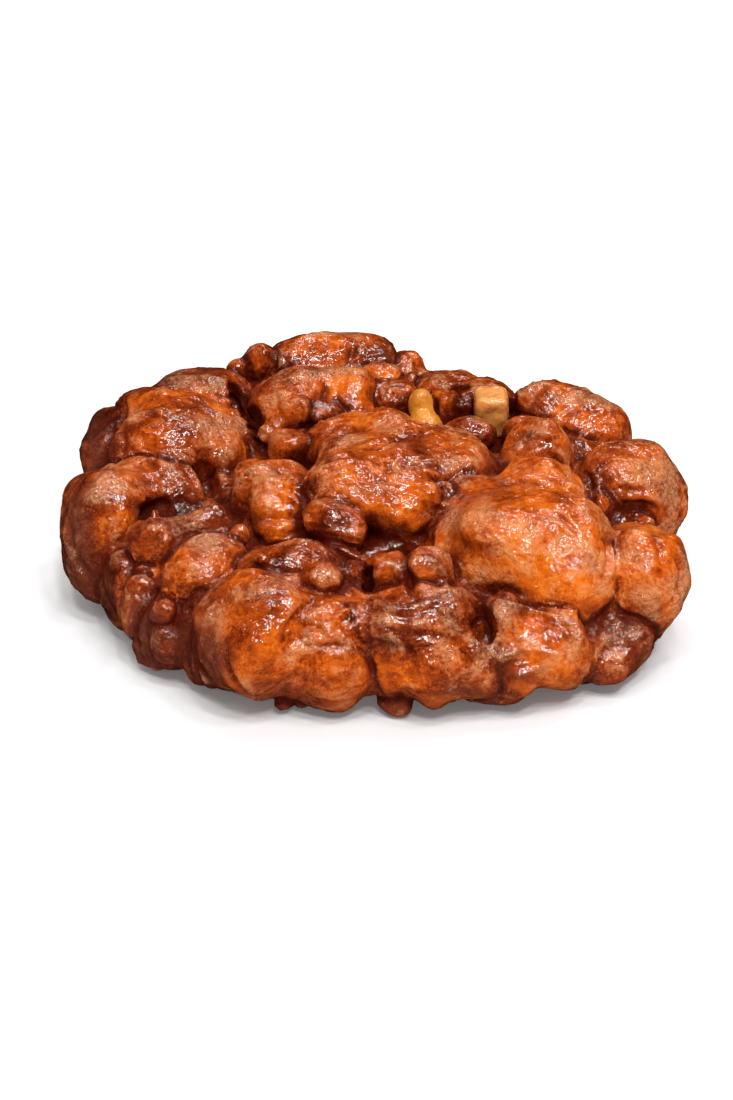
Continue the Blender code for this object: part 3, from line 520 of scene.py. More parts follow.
# ------------------------------------------- folds, lips and creases of the skin
# Each one: width and height in mm (a crease is negative), then the columns and rows it runs through in the front view.
FOLDS = (
    # left side
    (1.2, 0.7, ((122, 424), (135, 417), (150, 412), (165, 410), (175, 413))),
    (1.4, 0.8, ((178, 413), (193, 411), (200, 408), (212, 412), (230, 420), (248, 432), (262, 438))),
    (0.8, 0.7, ((215, 400), (228, 402), (236, 412), (243, 421), (255, 430))),
    (0.7, -0.6, ((218, 396), (233, 399), (241, 410), (249, 420))),
    (0.9, 0.6, ((158, 392), (170, 387), (185, 388), (200, 390), (212, 391))),
    (1.2, 0.5, ((165, 381), (185, 378), (205, 376), (222, 380))),
    (0.9, -0.9, ((122, 397), (124, 410), (122, 425), (124, 440), (125, 452))),
    (0.9, 0.5, ((105, 460), (118, 456), (130, 453), (142, 451))),
    (1.1, 0.6, ((100, 472), (118, 462), (132, 459), (147, 458), (160, 463), (175, 472), (186, 482), (194, 492))),
    (1.0, 0.4, ((90, 500), (97, 485), (108, 474), (120, 468), (135, 463))),
    (1.3, -1.4, ((172, 500), (158, 505), (147, 511), (139, 520), (134, 535), (130, 548))),
    (0.8, 0.5, ((185, 460), (192, 472), (199, 485), (203, 492))),
    (1.0, 0.4, ((150, 527), (170, 523), (190, 516), (210, 510))),
    (1.0, 0.5, ((186, 546), (197, 538), (210, 534), (225, 533), (232, 536))),
    (0.7, 0.4, ((190, 551), (203, 544), (218, 541))),
    (1.1, 0.7, ((128, 598), (127, 588), (133, 580), (143, 577), (155, 579))),
    (0.8, 0.6, ((133, 571), (142, 567), (152, 569), (158, 576))),
    (0.7, 0.6, ((140, 637), (141, 648), (143, 658))),
    (0.7, -0.6, ((136, 632), (137, 643), (139, 652))),
    (1.0, 0.9, ((68, 562), (75, 570), (85, 582), (93, 591), (98, 599), (104, 605))),
    (0.8, 0.5, ((66, 520), (65, 535), (68, 550), (74, 562), (83, 575), (93, 587))),
    (0.8, -0.5, ((72, 520), (71, 535), (74, 548), (80, 560), (90, 574))),
    (0.7, 0.35, ((86, 425), (84, 440), (83, 455), (83, 470))),
    # front left
    (0.9, -1.0, ((226, 640), (225, 652), (227, 665), (235, 680), (243, 690))),
    (0.7, 0.5, ((230, 650), (233, 668), (243, 684), (254, 693), (262, 693))),
    (0.7, 0.5, ((204, 622), (202, 638), (207, 655), (216, 668))),
    (0.8, 0.5, ((196, 640), (199, 655), (207, 670), (214, 682))),
    (0.9, 0.7, ((307, 638), (307, 627), (311, 617), (320, 610), (329, 612))),
    (0.8, 0.6, ((323, 625), (330, 634), (338, 638), (346, 641))),
    (0.8, 0.6, ((331, 623), (340, 614), (350, 610), (359, 608))),
    (0.9, 0.6, ((284, 652), (295, 649), (303, 645), (313, 641), (325, 641), (335, 638))),
    (0.8, -0.6, ((300, 645), (315, 645), (330, 645), (345, 647))),
    (1.0, 0.6, ((290, 668), (292, 660), (298, 654), (306, 650), (318, 648), (330, 649))),
    (0.8, -0.6, ((283, 640), (287, 628), (294, 617), (303, 608), (312, 600))),
    (0.7, 0.4, ((280, 632), (284, 622), (290, 613), (298, 606))),
    (0.7, -0.6, ((360, 648), (368, 658), (373, 668), (375, 678), (380, 688), (386, 697))),
    (0.8, 0.5, ((369, 645), (377, 655), (379, 668), (377, 680), (383, 690), (390, 698))),
    (1.0, 0.9, ((340, 589), (352, 590), (361, 597), (370, 600), (382, 605), (395, 609), (408, 609), (420, 605), (435, 600), (447, 595))),
    (0.8, 0.4, ((236, 590), (246, 586), (258, 586), (268, 592))),
    (0.8, -0.4, ((240, 603), (255, 599), (270, 593), (285, 592))),
    # front right
    (0.8, 0.6, ((440, 602), (443, 613), (450, 622), (458, 628), (466, 636), (472, 641))),
    (0.7, 0.7, ((470, 604), (474, 615), (473, 628))),
    (1.1, 0.6, ((486, 604), (495, 612), (503, 620), (512, 628), (517, 636))),
    (0.9, 0.8, ((489, 643), (493, 652), (500, 657), (508, 657), (516, 652), (521, 645))),
    (0.9, 0.8, ((500, 600), (515, 605), (530, 611), (545, 615), (562, 618))),
    (0.7, -0.8, ((490, 592), (505, 598), (520, 603), (537, 608), (558, 613))),
    (0.9, 0.7, ((562, 619), (572, 622), (579, 632), (578, 645), (572, 655))),
    (0.8, -0.6, ((555, 622), (566, 630), (570, 642), (566, 654))),
    (0.8, 0.5, ((520, 657), (530, 650), (541, 651), (552, 656))),
    (0.8, 0.5, ((500, 689), (511, 684), (520, 676), (534, 670), (548, 668))),
    (0.9, -0.6, ((405, 638), (410, 652), (413, 664), (411, 676))),
    (1.0, -0.6, ((455, 638), (462, 650), (468, 662), (470, 675))),
    (0.8, 0.6, ((380, 684), (392, 690), (405, 684), (420, 688), (440, 690), (455, 686))),
    (0.8, 0.5, ((380, 640), (388, 636), (397, 640), (404, 650))),
    (0.9, -0.5, ((380, 626), (395, 631), (412, 633), (430, 633), (448, 636))),
    # middle
    (0.8, 0.6, ((608, 538), (612, 550), (613, 562), (609, 575), (603, 584))),
    (0.6, -0.6, ((603, 540), (607, 552), (607, 565), (602, 577))),
    (0.6, -0.6, ((525, 509), (538, 512), (552, 514), (562, 518), (570, 527), (577, 535))),
    (0.6, 0.4, ((556, 520), (565, 526), (572, 535), (578, 545))),
    (0.5, -0.5, ((479, 532), (484, 540), (487, 547))),
    (0.9, 0.4, ((462, 520), (475, 513), (490, 512), (505, 517))),
    (1.0, 0.7, ((513, 449), (523, 440), (535, 434), (547, 434), (558, 441))),
    (0.9, 0.7, ((556, 449), (563, 455), (567, 465), (570, 476))),
    (0.7, -0.5, ((551, 452), (557, 461), (561, 472))),
    (0.9, 0.5, ((560, 482), (575, 488), (583, 498), (586, 510), (592, 520), (602, 526))),
    (0.9, 0.6, ((500, 481), (515, 477), (530, 477), (545, 481), (558, 485))),
    (0.8, -0.6, ((498, 486), (513, 483), (530, 483), (546, 488), (560, 493))),
    (0.8, 0.7, ((434, 513), (436, 503), (443, 505), (450, 503), (455, 495), (452, 488), (444, 484), (432, 486))),
    (1.0, 0.5, ((355, 484), (368, 491), (382, 487), (390, 493), (398, 500), (410, 501))),
    (0.8, 0.4, ((316, 471), (325, 466), (340, 461), (355, 459))),
    (0.8, 0.4, ((318, 481), (330, 476), (345, 470), (362, 465))),
    (0.8, -0.5, ((375, 476), (392, 470), (410, 466), (428, 466), (445, 470))),
    (0.7, 0.5, ((320, 455), (335, 449), (350, 446))),
    (0.7, 0.5, ((318, 463), (330, 458), (345, 453), (360, 450))),
    (0.8, 0.5, ((365, 445), (378, 441), (392, 437))),
    (0.7, 0.5, ((372, 452), (385, 448), (400, 444), (415, 443))),
    (0.7, 0.5, ((330, 437), (340, 430), (350, 424))),
    (0.7, -0.5, ((333, 442), (345, 434), (354, 429))),
    (0.8, 0.5, ((420, 455), (432, 450), (445, 452), (455, 458))),
    (0.8, -0.5, ((428, 476), (440, 480), (452, 478), (463, 471))),
    (0.8, 0.5, ((470, 452), (482, 446), (495, 444))),
    (0.8, 0.4, ((373, 428), (377, 420), (386, 416), (396, 417), (405, 421))),
    (0.8, 0.5, ((238, 488), (241, 478), (250, 470), (262, 466), (275, 468))),
    (1.0, 0.6, ((282, 468), (292, 478), (302, 487), (312, 494))),
    (0.8, -0.6, ((270, 482), (281, 487), (290, 490), (299, 497))),
    (0.8, 0.5, ((257, 498), (268, 494), (280, 493), (291, 495))),
    (0.8, 0.6, ((293, 495), (300, 505), (306, 518), (311, 533))),
    (0.8, -0.5, ((257, 521), (270, 519), (285, 520), (300, 521))),
    (0.9, 0.5, ((303, 497), (315, 503), (330, 509), (343, 514))),
    (0.8, 0.4, ((250, 557), (255, 549), (265, 544), (280, 541), (300, 540), (318, 545), (330, 556))),
    (0.8, 0.6, ((318, 540), (328, 543), (340, 549), (352, 555), (363, 560), (368, 570))),
    (1.0, 0.5, ((283, 575), (295, 580), (308, 590), (314, 600))),
    (0.8, -0.6, ((276, 567), (283, 572), (293, 574), (305, 572))),
    (0.8, 0.6, ((376, 576), (380, 567), (388, 563), (395, 567), (402, 577), (407, 590), (411, 601))),
    (0.8, 0.6, ((408, 573), (412, 563), (424, 557), (436, 562), (444, 574), (446, 585), (440, 594))),
    (1.0, -1.2, ((408, 570), (409, 582), (412, 592), (416, 600))),
    (0.7, 0.5, ((378, 553), (388, 550), (398, 547), (406, 542))),
    # back
    (1.0, 0.5, ((285, 384), (295, 374), (308, 369), (325, 367), (345, 369), (362, 373))),
    (0.9, -0.9, ((324, 382), (326, 390), (324, 398), (327, 406))),
    (0.7, 0.7, ((305, 402), (315, 402), (326, 405), (337, 409), (345, 417))),
    (0.7, 0.6, ((313, 413), (319, 421), (330, 422), (340, 418))),
    (0.8, 0.5, ((268, 398), (275, 393), (283, 395), (287, 402))),
    (0.8, 0.5, ((288, 405), (296, 400), (303, 402), (307, 410))),
    (0.9, 0.5, ((290, 346), (300, 339), (312, 334), (322, 332))),
    (1.0, -1.1, ((349, 338), (353, 347), (351, 357), (348, 364))),
    (0.8, 0.5, ((355, 345), (357, 352))),
    (0.9, 0.6, ((281, 350), (280, 361), (282, 372))),
    (0.6, 0.5, ((386, 398), (392, 402), (402, 401), (408, 396))),
    (0.6, 0.5, ((384, 393), (392, 389), (402, 390), (410, 396))),
    (0.7, 0.5, ((367, 366), (378, 362), (390, 366), (400, 372))),
    (1.0, -0.8, ((523, 422), (535, 424), (548, 427), (560, 430), (572, 434), (590, 440), (610, 442))),
    (1.1, 0.5, ((575, 392), (588, 400), (600, 405), (612, 411))),
    (0.9, 0.5, ((520, 392), (530, 387), (542, 384), (553, 385))),
    (0.9, -0.5, ((555, 405), (566, 409), (576, 407), (583, 400))),
    # right side
    (0.9, -0.8, ((586, 470), (590, 482), (592, 494), (597, 505))),
    (0.8, 0.5, ((605, 448), (595, 455), (588, 466))),
    (0.9, 0.6, ((620, 501), (632, 497), (645, 497), (660, 501))),
    (0.9, 0.7, ((616, 510), (625, 515), (637, 514), (648, 520), (655, 527))),
    (0.7, -0.5, ((620, 488), (632, 490), (645, 493))),
    (0.8, 0.4, ((622, 482), (636, 485), (650, 486))),
    (0.9, 0.5, ((610, 536), (622, 531), (640, 531), (655, 536))),
    (0.9, 0.7, ((678, 548), (684, 560), (687, 575), (684, 590), (676, 605))),
    (0.7, -0.8, ((672, 550), (678, 562), (681, 576), (677, 590))),
    (0.9, -0.8, ((654, 536), (659, 546), (661, 557), (659, 570))),
    (0.8, -0.6, ((648, 625), (655, 618), (663, 608), (672, 600))),
    (0.8, 0.5, ((612, 590), (618, 600), (626, 610), (636, 618))),
    (0.8, 0.5, ((590, 641), (600, 643), (610, 638), (618, 632))),
)

# --------------------------------------------------------------- looks
# how light and orange each lobe's glaze is: 0 dark brown to 1 bright orange (longest matching start of its name)
TONES = {
    'L1': 0.62, 'L1t': 0.60, 'L1r': 0.52, 'L1m': 0.68, 'L1n': 0.66, 'L1c': 0.25, 'L2a': 0.40, 'L2d': 0.50, 'L2b': 0.55,
    'L2c': 0.66, 'L2e': 0.40, 'L2f': 0.42, 'L3': 0.48, 'L3a': 0.46, 'H1': 0.40, 'V1': 0.42, 'V2': 0.42,
    'B1': 0.52, 'B1b': 0.36, 'B1s': 0.30, 'B2': 0.72, 'B2r': 0.52, 'B2l': 0.55, 'B3': 0.60, 'B3b': 0.74,
    'B4': 0.60, 'B4r': 0.74, 'B4t': 0.66, 'B4l': 0.48, 'B4b': 0.46, 'B4f': 0.70, 'B4g': 0.50, 'B4i': 0.62, 'B4j': 0.62,
    'B4k': 0.60, 'B4n': 0.45, 'B5a': 0.45, 'B5b': 0.52, 'B5c': 0.52, 'B5d': 0.40, 'B6a': 0.46, 'B6b': 0.58, 'B6c': 0.42,
    'B7': 0.62, 'B7m': 0.64, 'B7r': 0.58, 'B7f': 0.66,
    'R1': 0.60, 'R1e': 0.66, 'R1f': 0.46, 'R1d': 0.40, 'R1b': 0.55, 'R1g': 0.36, 'R2': 0.76, 'R2a': 0.62, 'R2b': 0.68,
    'R2c': 0.84, 'R2d': 0.50, 'R3': 0.60, 'R3b': 0.50, 'R3d': 0.42, 'R3e': 0.42, 'R3f': 0.34, 'G1': 0.20, 'G2': 0.22,
    'G3': 0.25, 'G4': 0.28,
    'F1': 0.68, 'F1c': 0.36, 'F1h': 0.50, 'F1a': 0.58, 'F1i': 0.58, 'F1e': 0.58, 'F1b': 0.58, 'F1d': 0.50, 'F1g': 0.50,
    'F4l': 0.50, 'F2a': 0.55, 'F2b': 0.66, 'F2c': 0.55, 'F2d': 0.46, 'F4': 0.50, 'F4r': 0.48, 'F3l': 0.50, 'F3k': 0.50,
    'F3m': 0.50, 'F3b': 0.48, 'F3': 0.78, 'F3r': 0.66, 'F3s': 0.55, 'Q': 0.42, 'Q1': 0.50, 'Q2': 0.42, 'Q3': 0.55, 'Q4': 0.55,
    'Q5': 0.36, 'L4': 0.38, 'L4e': 0.58, 'L5': 0.64, 'L5a': 0.60, 'L5b': 0.56, 'L5u': 0.48, 'L5k': 0.56, 'L6a': 0.44,
    'L6b': 0.46, 'L6l': 0.44, 'L7': 0.66, 'L6c': 0.42, 'L6d': 0.42,
    'C4': 0.74, 'C4u': 0.58, 'C4v': 0.48, 'C4w': 0.66, 'C4b': 0.42, 'C5': 0.52, 'C5a': 0.52, 'C5f': 0.44, 'C6': 0.52,
    'C6p': 0.56, 'C6r': 0.50, 'C6l': 0.50, 'C6g': 0.60, 'C6b': 0.50, 'C7a': 0.50, 'C7b': 0.52, 'C2': 0.70, 'C2a': 0.66,
    'C2d': 0.60, 'C2c': 0.66, 'C2b': 0.52, 'C1': 0.80, 'C1c': 0.74, 'C1d': 0.66, 'C1u': 0.78, 'C1b': 0.68, 'C1n': 0.60,
    'C1e': 0.72, 'C1f': 0.60, 'C1v': 0.76, 'S0': 0.62, 'C3': 0.60, 'S1': 0.58, 'S2': 0.55, 'S3': 0.58, 'S4': 0.55, 'S5': 0.58, 'S6': 0.60, 'S7': 0.56,
    'B5e': 0.50, 'S8': 0.52, 'S9': 0.60,
}
# patches of glaze: column, row, half width, half height in the front view; then how much lighter, milkier (milky sugar
# and painted sheen) and plummier (plum glaze and painted shade)
TINTS = (
    (560, 580, 32, 24, 0.10, -0.20, -0.2), (540, 500, 30, 14, 0.02, -0.45, -0.1), (500, 520, 20, 8, 0.0, 0.35, 0.0), (470, 572, 16, 16, 0.32, 0.75, 0.0),
    (495, 548, 20, 10, 0.0, 0.48, 0.0), (590, 562, 13, 15, 0.16, 1.00, 0.0), (600, 590, 8, 12, 0.0, 0.5, 0.0), (510, 592, 34, 8, -0.16, -0.2, 0.1),
    (555, 548, 16, 8, 0.0, 0.50, 0.0), (505, 578, 10, 8, 0.0, 0.40, 0.0), (535, 605, 30, 7, -0.22, 0.0, 0.2),
    (385, 508, 36, 14, 0.17, -0.55, -0.3), (425, 482, 26, 8, 0.04, 0.1, -0.1),
    (452, 535, 12, 30, -0.12, 0.45, 0.1),
    (368, 490, 22, 5, 0.0, 0.20, 0.0), (415, 482, 16, 10, -0.14, -0.5, -0.1), (287, 508, 15, 13, -0.18, -1.0, -0.1), (270, 512, 4, 14, 0.0, 0.50, 0.0),
    (262, 634, 24, 20, -0.12, -0.85, -0.3), (190, 620, 6, 10, 0.0, 0.3, 0.4), (370, 660, 5, 22, -0.15, 0.0, 0.4), (225, 612, 16, 14, -0.04, 0.30, 0.1), (250, 594, 26, 10, -0.06, 0.50, 0.1),
    (215, 665, 18, 28, -0.22, 0.0, 0.6), (300, 690, 34, 10, 0.16, 0.15, 0.0), (250, 690, 24, 12, -0.14, 0.05, 0.45),
    (325, 660, 22, 12, 0.0, -0.10, 0.0), (430, 664, 16, 10, -0.06, -0.1, 0.1),
    (445, 652, 14, 6, 0.0, 0.45, 0.0), (460, 688, 26, 10, -0.30, -0.10, 0.5), (478, 660, 10, 14, 0.0, 0.30, 0.1),
    (393, 645, 12, 12, -0.02, 0.60, 0.3), (548, 640, 18, 14, -0.16, 0.05, -0.1), (572, 645, 8, 16, 0.0, 0.50, 0.0),
    (520, 676, 24, 9, -0.26, -0.5, 0.45), (500, 656, 14, 16, -0.06, 0.05, 0.3),
    (630, 570, 20, 30, 0.10, 0.10, -0.2), (640, 590, 18, 18, 0.12, 0.40, 0.0), (668, 558, 12, 16, 0.08, -0.2, -0.2),
    (683, 575, 8, 34, 0.0, 0.85, 0.15), (672, 492, 8, 22, 0.0, 0.55, 0.2), (655, 615, 22, 14, 0.04, 0.70, 0.25),
    (645, 472, 26, 14, 0.22, 0.95, 0.0), (655, 492, 14, 14, 0.0, 0.30, 0.0), (600, 478, 8, 16, -0.2, -0.2, 0.1), (640, 508, 20, 6, -0.20, -0.5, -0.2),
    (535, 400, 20, 12, 0.04, 0.35, 0.15), (592, 402, 24, 7, 0.04, 0.50, 0.0), (560, 398, 14, 7, 0.0, 0.45, 0.0), (600, 420, 18, 10, 0.04, -0.5, -0.1),
    (105, 520, 16, 18, 0.02, -0.05, -0.2), (115, 488, 22, 9, 0.05, 0.60, 0.0), (116, 532, 9, 14, 0.0, 0.60, 0.0), (100, 500, 14, 9, 0.0, 0.4, 0.0),
    (76, 535, 18, 54, -0.22, -0.2, 0.85), (98, 588, 22, 16, -0.16, -0.1, 0.7), (165, 475, 24, 8, -0.04, 0.30, 0.1),
    (222, 425, 26, 10, 0.0, 0.55, 0.0), (165, 430, 32, 8, 0.0, -0.6, -0.2), (182, 402, 42, 9, -0.02, -0.75, -0.3),
    (175, 455, 26, 10, -0.04, 0.22, 0.0), (96, 452, 12, 32, -0.22, -0.1, 0.75), (185, 384, 30, 6, -0.04, 0.15, 0.3),
    (200, 373, 30, 6, -0.10, -0.25, 0.35), (175, 640, 18, 22, -0.26, -0.4, 0.4), (148, 636, 14, 30, -0.08, 0.0, 0.65),
    (200, 572, 22, 8, 0.08, 0.30, -0.1), (180, 590, 12, 8, 0.10, 0.0, -0.2), (185, 530, 34, 9, 0.12, 0.50, 0.45), (205, 475, 9, 8, -0.35, -0.3, 0.0), (640, 508, 14, 5, -0.15, -0.3, -0.2),
    (215, 545, 30, 7, -0.06, 0.2, 0.3), (325, 350, 36, 11, 0.0, -0.75, -0.2), (300, 362, 20, 6, -0.12, -0.2, 0.1),
    (312, 334, 18, 3, 0.0, 0.6, 0.0), (384, 356, 10, 12, -0.24, -0.1, 0.6), (278, 362, 5, 12, -0.1, 0.3, 0.4),
    (325, 372, 36, 4, 0.0, 0.45, 0.0), (345, 384, 24, 8, 0.10, -0.3, -0.1), (385, 374, 14, 7, 0.05, -0.1, -0.2),
    (345, 402, 18, 10, -0.30, -1.0, 0.0), (275, 400, 14, 8, 0.0, 0.30, 0.0), (300, 412, 12, 6, 0.0, 0.40, 0.0),
    (245, 402, 8, 30, -0.12, 0.0, 0.4), (400, 450, 60, 12, -0.16, -0.45, 0.0), (330, 445, 20, 10, 0.0, 0.35, 0.0), (238, 410, 6, 24, -0.3, -0.4, 0.0), (420, 505, 16, 12, 0.06, -0.5, -0.2), (350, 440, 16, 5, 0.0, 0.40, 0.0),
    (395, 432, 14, 6, 0.0, 0.35, 0.0), (440, 462, 30, 8, -0.02, 0.25, 0.1), (330, 575, 16, 10, 0.0, 0.65, 0.1),
    (288, 560, 26, 10, -0.22, -1.0, 0.0), (336, 526, 22, 16, -0.20, -0.9, 0.1), (395, 548, 26, 8, -0.14, -1.0, -0.2),
    (388, 582, 8, 14, 0.02, -0.2, 0.0), (428, 580, 10, 14, 0.20, -0.1, 0.0), (450, 420, 12, 10, 0.06, -0.1, 0.0),
    (618, 636, 24, 16, -0.06, -0.05, 0.6), (590, 625, 12, 16, -0.08, -0.2, 0.2), (610, 670, 20, 12, 0.04, 0.1, 0.0),
    (405, 618, 36, 14, 0.04, 0.25, 0.15), (500, 608, 16, 12, -0.04, 0.05, 0.5), (134, 612, 18, 28, 0.12, 0.05, 0.6), (207, 630, 14, 34, -0.06, 0.05, 0.6),
    (275, 476, 24, 9, 0.0, 0.35, 0.0), (450, 618, 8, 14, 0.0, 0.50, 0.1), (600, 655, 6, 5, 0.1, 0.4, 0.0),
)
# linear colours: dark brown to bright orange by tone, then the plum of the edges and low sides (plum glaze with painted
# shade), the deep red of painted shade in the hollows, and the milky sugar with its painted sheen
RAMP = ((0.0, (0.052, 0.0028, 0.0004)), (0.22, (0.132, 0.0105, 0.0008)), (0.42, (0.260, 0.029, 0.0018)),
        (0.60, (0.46, 0.062, 0.0028)), (0.78, (0.71, 0.113, 0.0040)), (1.0, (0.94, 0.205, 0.010)))
PLUM_AND_SHADE = (0.180, 0.042, 0.022)
HOLLOW_SHADE_RED = (0.098, 0.0042, 0.0004)
MILK_AND_SHEEN = (0.82, 0.388, 0.182)
APPLE_YELLOW = ((0.92, 0.36, 0.034), (0.74, 0.235, 0.018), (0.36, 0.085, 0.010))
APPLE_TAN = ((0.93, 0.40, 0.10), (0.92, 0.33, 0.072), (0.50, 0.115, 0.022))
WORLD = 0.30
# lights: name, azimuth and elevation in degrees (0 is the camera's side, 90 the right), width in degrees, strength
LIGHTS = (
    ('key_1', 12, 56, 7, 0.49), ('key_2', 40, 60, 7, 0.49), ('key_3', 22, 74, 7, 0.47), ('key_4', 70, 66, 7, 0.36),
    ('key_5', -15, 64, 7, 0.38), ('left_1', -60, 56, 7, 0.15), ('left_2', -40, 76, 7, 0.20),
    ('back_1', 165, 52, 12, 0.34), ('back_2', 130, 60, 10, 0.28), ('back_3', -150, 62, 10, 0.11),
)

# ------------------------------------------------------------ fine surface
PITCH = 0.5      # of the grid that the skin is read from, mm
PIECE_PITCH = 0.3
SKIN_FACES = 194000         # most triangles in the skin
PX = VIEW_SCALE             # columns per mm


def sample(g, p, h, low=GRID_LOW):
    """Field g between its grid points, at points p (mm, before SHIFT)."""
    q = (p - low) / h
    q = np.clip(q, 0, np.array(g.shape) - 1.001)
    i = q.astype(int)
    f = q - i
    out = 0
    for a in (0, 1):
        for b in (0, 1):
            for c in (0, 1):
                w = ((f[:, 0] if a else 1 - f[:, 0]) * (f[:, 1] if b else 1 - f[:, 1]) * (f[:, 2] if c else 1 - f[:, 2]))
                out = out + w * g[i[:, 0] + a, i[:, 1] + b, i[:, 2] + c]
    return out


def on_surface(uv, g, h):
    """Where the rays through these columns and rows of the front view first meet the surface (mm, before SHIFT)."""
    uv = np.asarray(uv, float)
    f = VIEW_SCALE * VIEW_DISTANCE
    ray = AWAY + RIGHT * ((uv[:, :1] - VIEW_MIDDLE[0]) / f) - UP * ((uv[:, 1:] - VIEW_MIDDLE[1]) / f)
    ray /= np.linalg.norm(ray, axis=1, keepdims=True)
    t = (46.0 - EYE[2]) / ray[:, 2]
    for _ in range(90):
        p = EYE + ray * t[:, None]
        t = t + np.clip(0.8 * sample(g, p, h), -2, 2.5)
    p = EYE + ray * t[:, None]
    return p, np.abs(sample(g, p, h)) < 0.3


def in_view(p):
    """Columns and rows at which points p (mm, before SHIFT) show."""
    q = p - EYE
    depth = q @ AWAY
    f = VIEW_SCALE * VIEW_DISTANCE
    return VIEW_MIDDLE[0] + f * (q @ RIGHT) / depth, VIEW_MIDDLE[1] - f * (q @ UP) / depth


def value_noise(p, seed=0):
    """Smooth noise in -1..1 with features one unit wide."""
    i = np.floor(p).astype(np.int64)
    f = p - i
    f = f * f * f * (f * (f * 6 - 15) + 10)
    out = 0
    for a in (0, 1):
        for b in (0, 1):
            for c in (0, 1):
                n = (i[:, 0] + a) * 73856093 ^ (i[:, 1] + b) * 19349663 ^ (i[:, 2] + c) * 83492791 ^ (seed * 2654435761)
                n = (n ^ (n >> 13)) & 0xffffffff
                n = (n * 1274126177) & 0xffffffff
                n = ((n ^ (n >> 16)) * 2246822519) & 0xffffffff
                v = (n & 0xffffff) / 8388607.5 - 1
                out = out + v * ((f[:, 0] if a else 1 - f[:, 0]) * (f[:, 1] if b else 1 - f[:, 1]) * (f[:, 2] if c else 1 - f[:, 2]))
    return out


TWIST = turned(31, 47, 23)


def noise(p, size, octaves=2, seed=0):
    q, out, w = p / size, 0, 1.0
    for o in range(octaves):
        out = out + w * value_noise(q + 17.3 * o, seed + o)
        q = (q @ TWIST) * 2.03
        w *= 0.5
    return out


def smooth(points, step=0.45):
    """Points along a smooth curve through the given ones, about step mm apart."""
    a = np.asarray(points, float)
    if len(a) == 2:
        a = np.vstack([a[0], (a[0] + a[1]) / 2, a[1]])
    ends = np.vstack([2 * a[0] - a[1], a, 2 * a[-1] - a[-2]])
    out = []
    for i in range(len(a) - 1):
        p0, p1, p2, p3 = ends[i:i + 4]
        n = max(2, int(np.linalg.norm(p2 - p1) / PX / step) + 1)
        t = (np.arange(n) / n)[:, None]
        out.append(0.5 * (2 * p1 + (p2 - p0) * t + (2 * p0 - 5 * p1 + 4 * p2 - p3) * t ** 2 + (3 * p1 - p0 - 3 * p2 + p3) * t ** 3))
    out.append(a[-1:])
    return np.vstack(out)


def nearest_two(p):
    """For points p of the skin: how far they are from where two lumps meet, a blend of the lobes' tones, and the nearest lump's phase."""
    d1 = np.full(len(p), 50.0)
    d2 = np.full(len(p), 50.0)
    ph = np.zeros(len(p))
    tone = np.zeros(len(p))
    total = np.zeros(len(p)) + 1e-9
    p = p + drift(p)
    for lump in lumps('dough'):
        if lump[0]['name'] == 'core':
            continue
        own = np.full(len(p), 50.0)
        for l in lump:
            reach = np.abs(l['R']) @ l['r'] + 7
            m = np.nonzero((np.abs(p - l['c']) < reach).all(1))[0]
            if not len(m):
                continue
            d = distance(l, p[m])
            own[m] = np.minimum(own[m], d)
            w = np.exp(-np.clip(d, -4, 20) / 0.9)
            tone[m] += w * tone_of(l['name'])
            total[m] += w
        first = own < d1
        d2 = np.where(first, d1, np.minimum(d2, own))
        d1 = np.where(first, own, d1)
        ph = np.where(first, lump[0]['ph'], ph)
    return np.clip(d2 - d1 + 6 * np.clip(d1 - 0.8, 0, 5), 0, 30), tone / total, ph


def tone_of(name):
    for k in range(len(name), 1, -1):
        if name[:k] in TONES:
            return TONES[name[:k]]
    return 0.42 + 0.2 * math.sin(5.3 * sum(map(ord, name)))


def relief(p, gap, phase):
    """The skin's own unevenness at points p, mm: creases where lobes meet, wrinkles beside them, blisters and folds."""
    patch = np.clip(0.5 + 0.9 * noise(p, 5.0, 1, 3), 0, 1)
    wave = np.sin(2 * math.pi * (gap + 0.5 * noise(p, 3.0, 1, 9)) / 1.35 + phase)
    out = 0.20 * wave * np.exp(-gap / 3.2) * patch - 0.55 * np.exp(-(gap / 0.5) ** 2) - 0.22 * np.exp(-(gap / 1.5) ** 2)
    out += 0.20 * noise(p, 5.5, 1, 21) + 0.04 * noise(p, 1.5, 1, 5)
    warped = p + 1.4 * np.stack([noise(p, 4.5, 1, s) for s in (31, 32, 33)], 1)
    ridge = 1 - np.abs(noise(warped, 3.1, 1, 12))
    out += 0.42 * (ridge ** 5 - 0.2) * np.clip(0.30 + 1.0 * noise(p, 9.0, 1, 14), 0, 1)
    return out


def mesh_of(name, points, quads):
    me = bpy.data.meshes.new(name)
    me.vertices.add(len(points))
    me.vertices.foreach_set('co', (points * 0.001).astype(np.float32).ravel())
    me.loops.add(4 * len(quads))
    me.loops.foreach_set('vertex_index', quads.astype(np.int32).ravel())
    me.polygons.add(len(quads))
    me.polygons.foreach_set('loop_start', np.arange(0, 4 * len(quads), 4, dtype=np.int32))
    me.update(calc_edges=True)
    me.validate()
    ob = bpy.data.objects.new(name, me)
    bpy.context.scene.collection.objects.link(ob)
    return ob


def read(me, what='co'):
    a = np.zeros(3 * len(me.vertices), np.float32)
    me.vertices.foreach_get(what, a)
    return a.reshape(-1, 3).astype(float)


def write(me, points):
    me.vertices.foreach_set('co', (points * 0.001).astype(np.float32).ravel())
    me.update()


def attribute(me, name, values):
    at = me.attributes.new(name, 'FLOAT', 'POINT')
    at.data.foreach_set('value', np.asarray(values, np.float32))


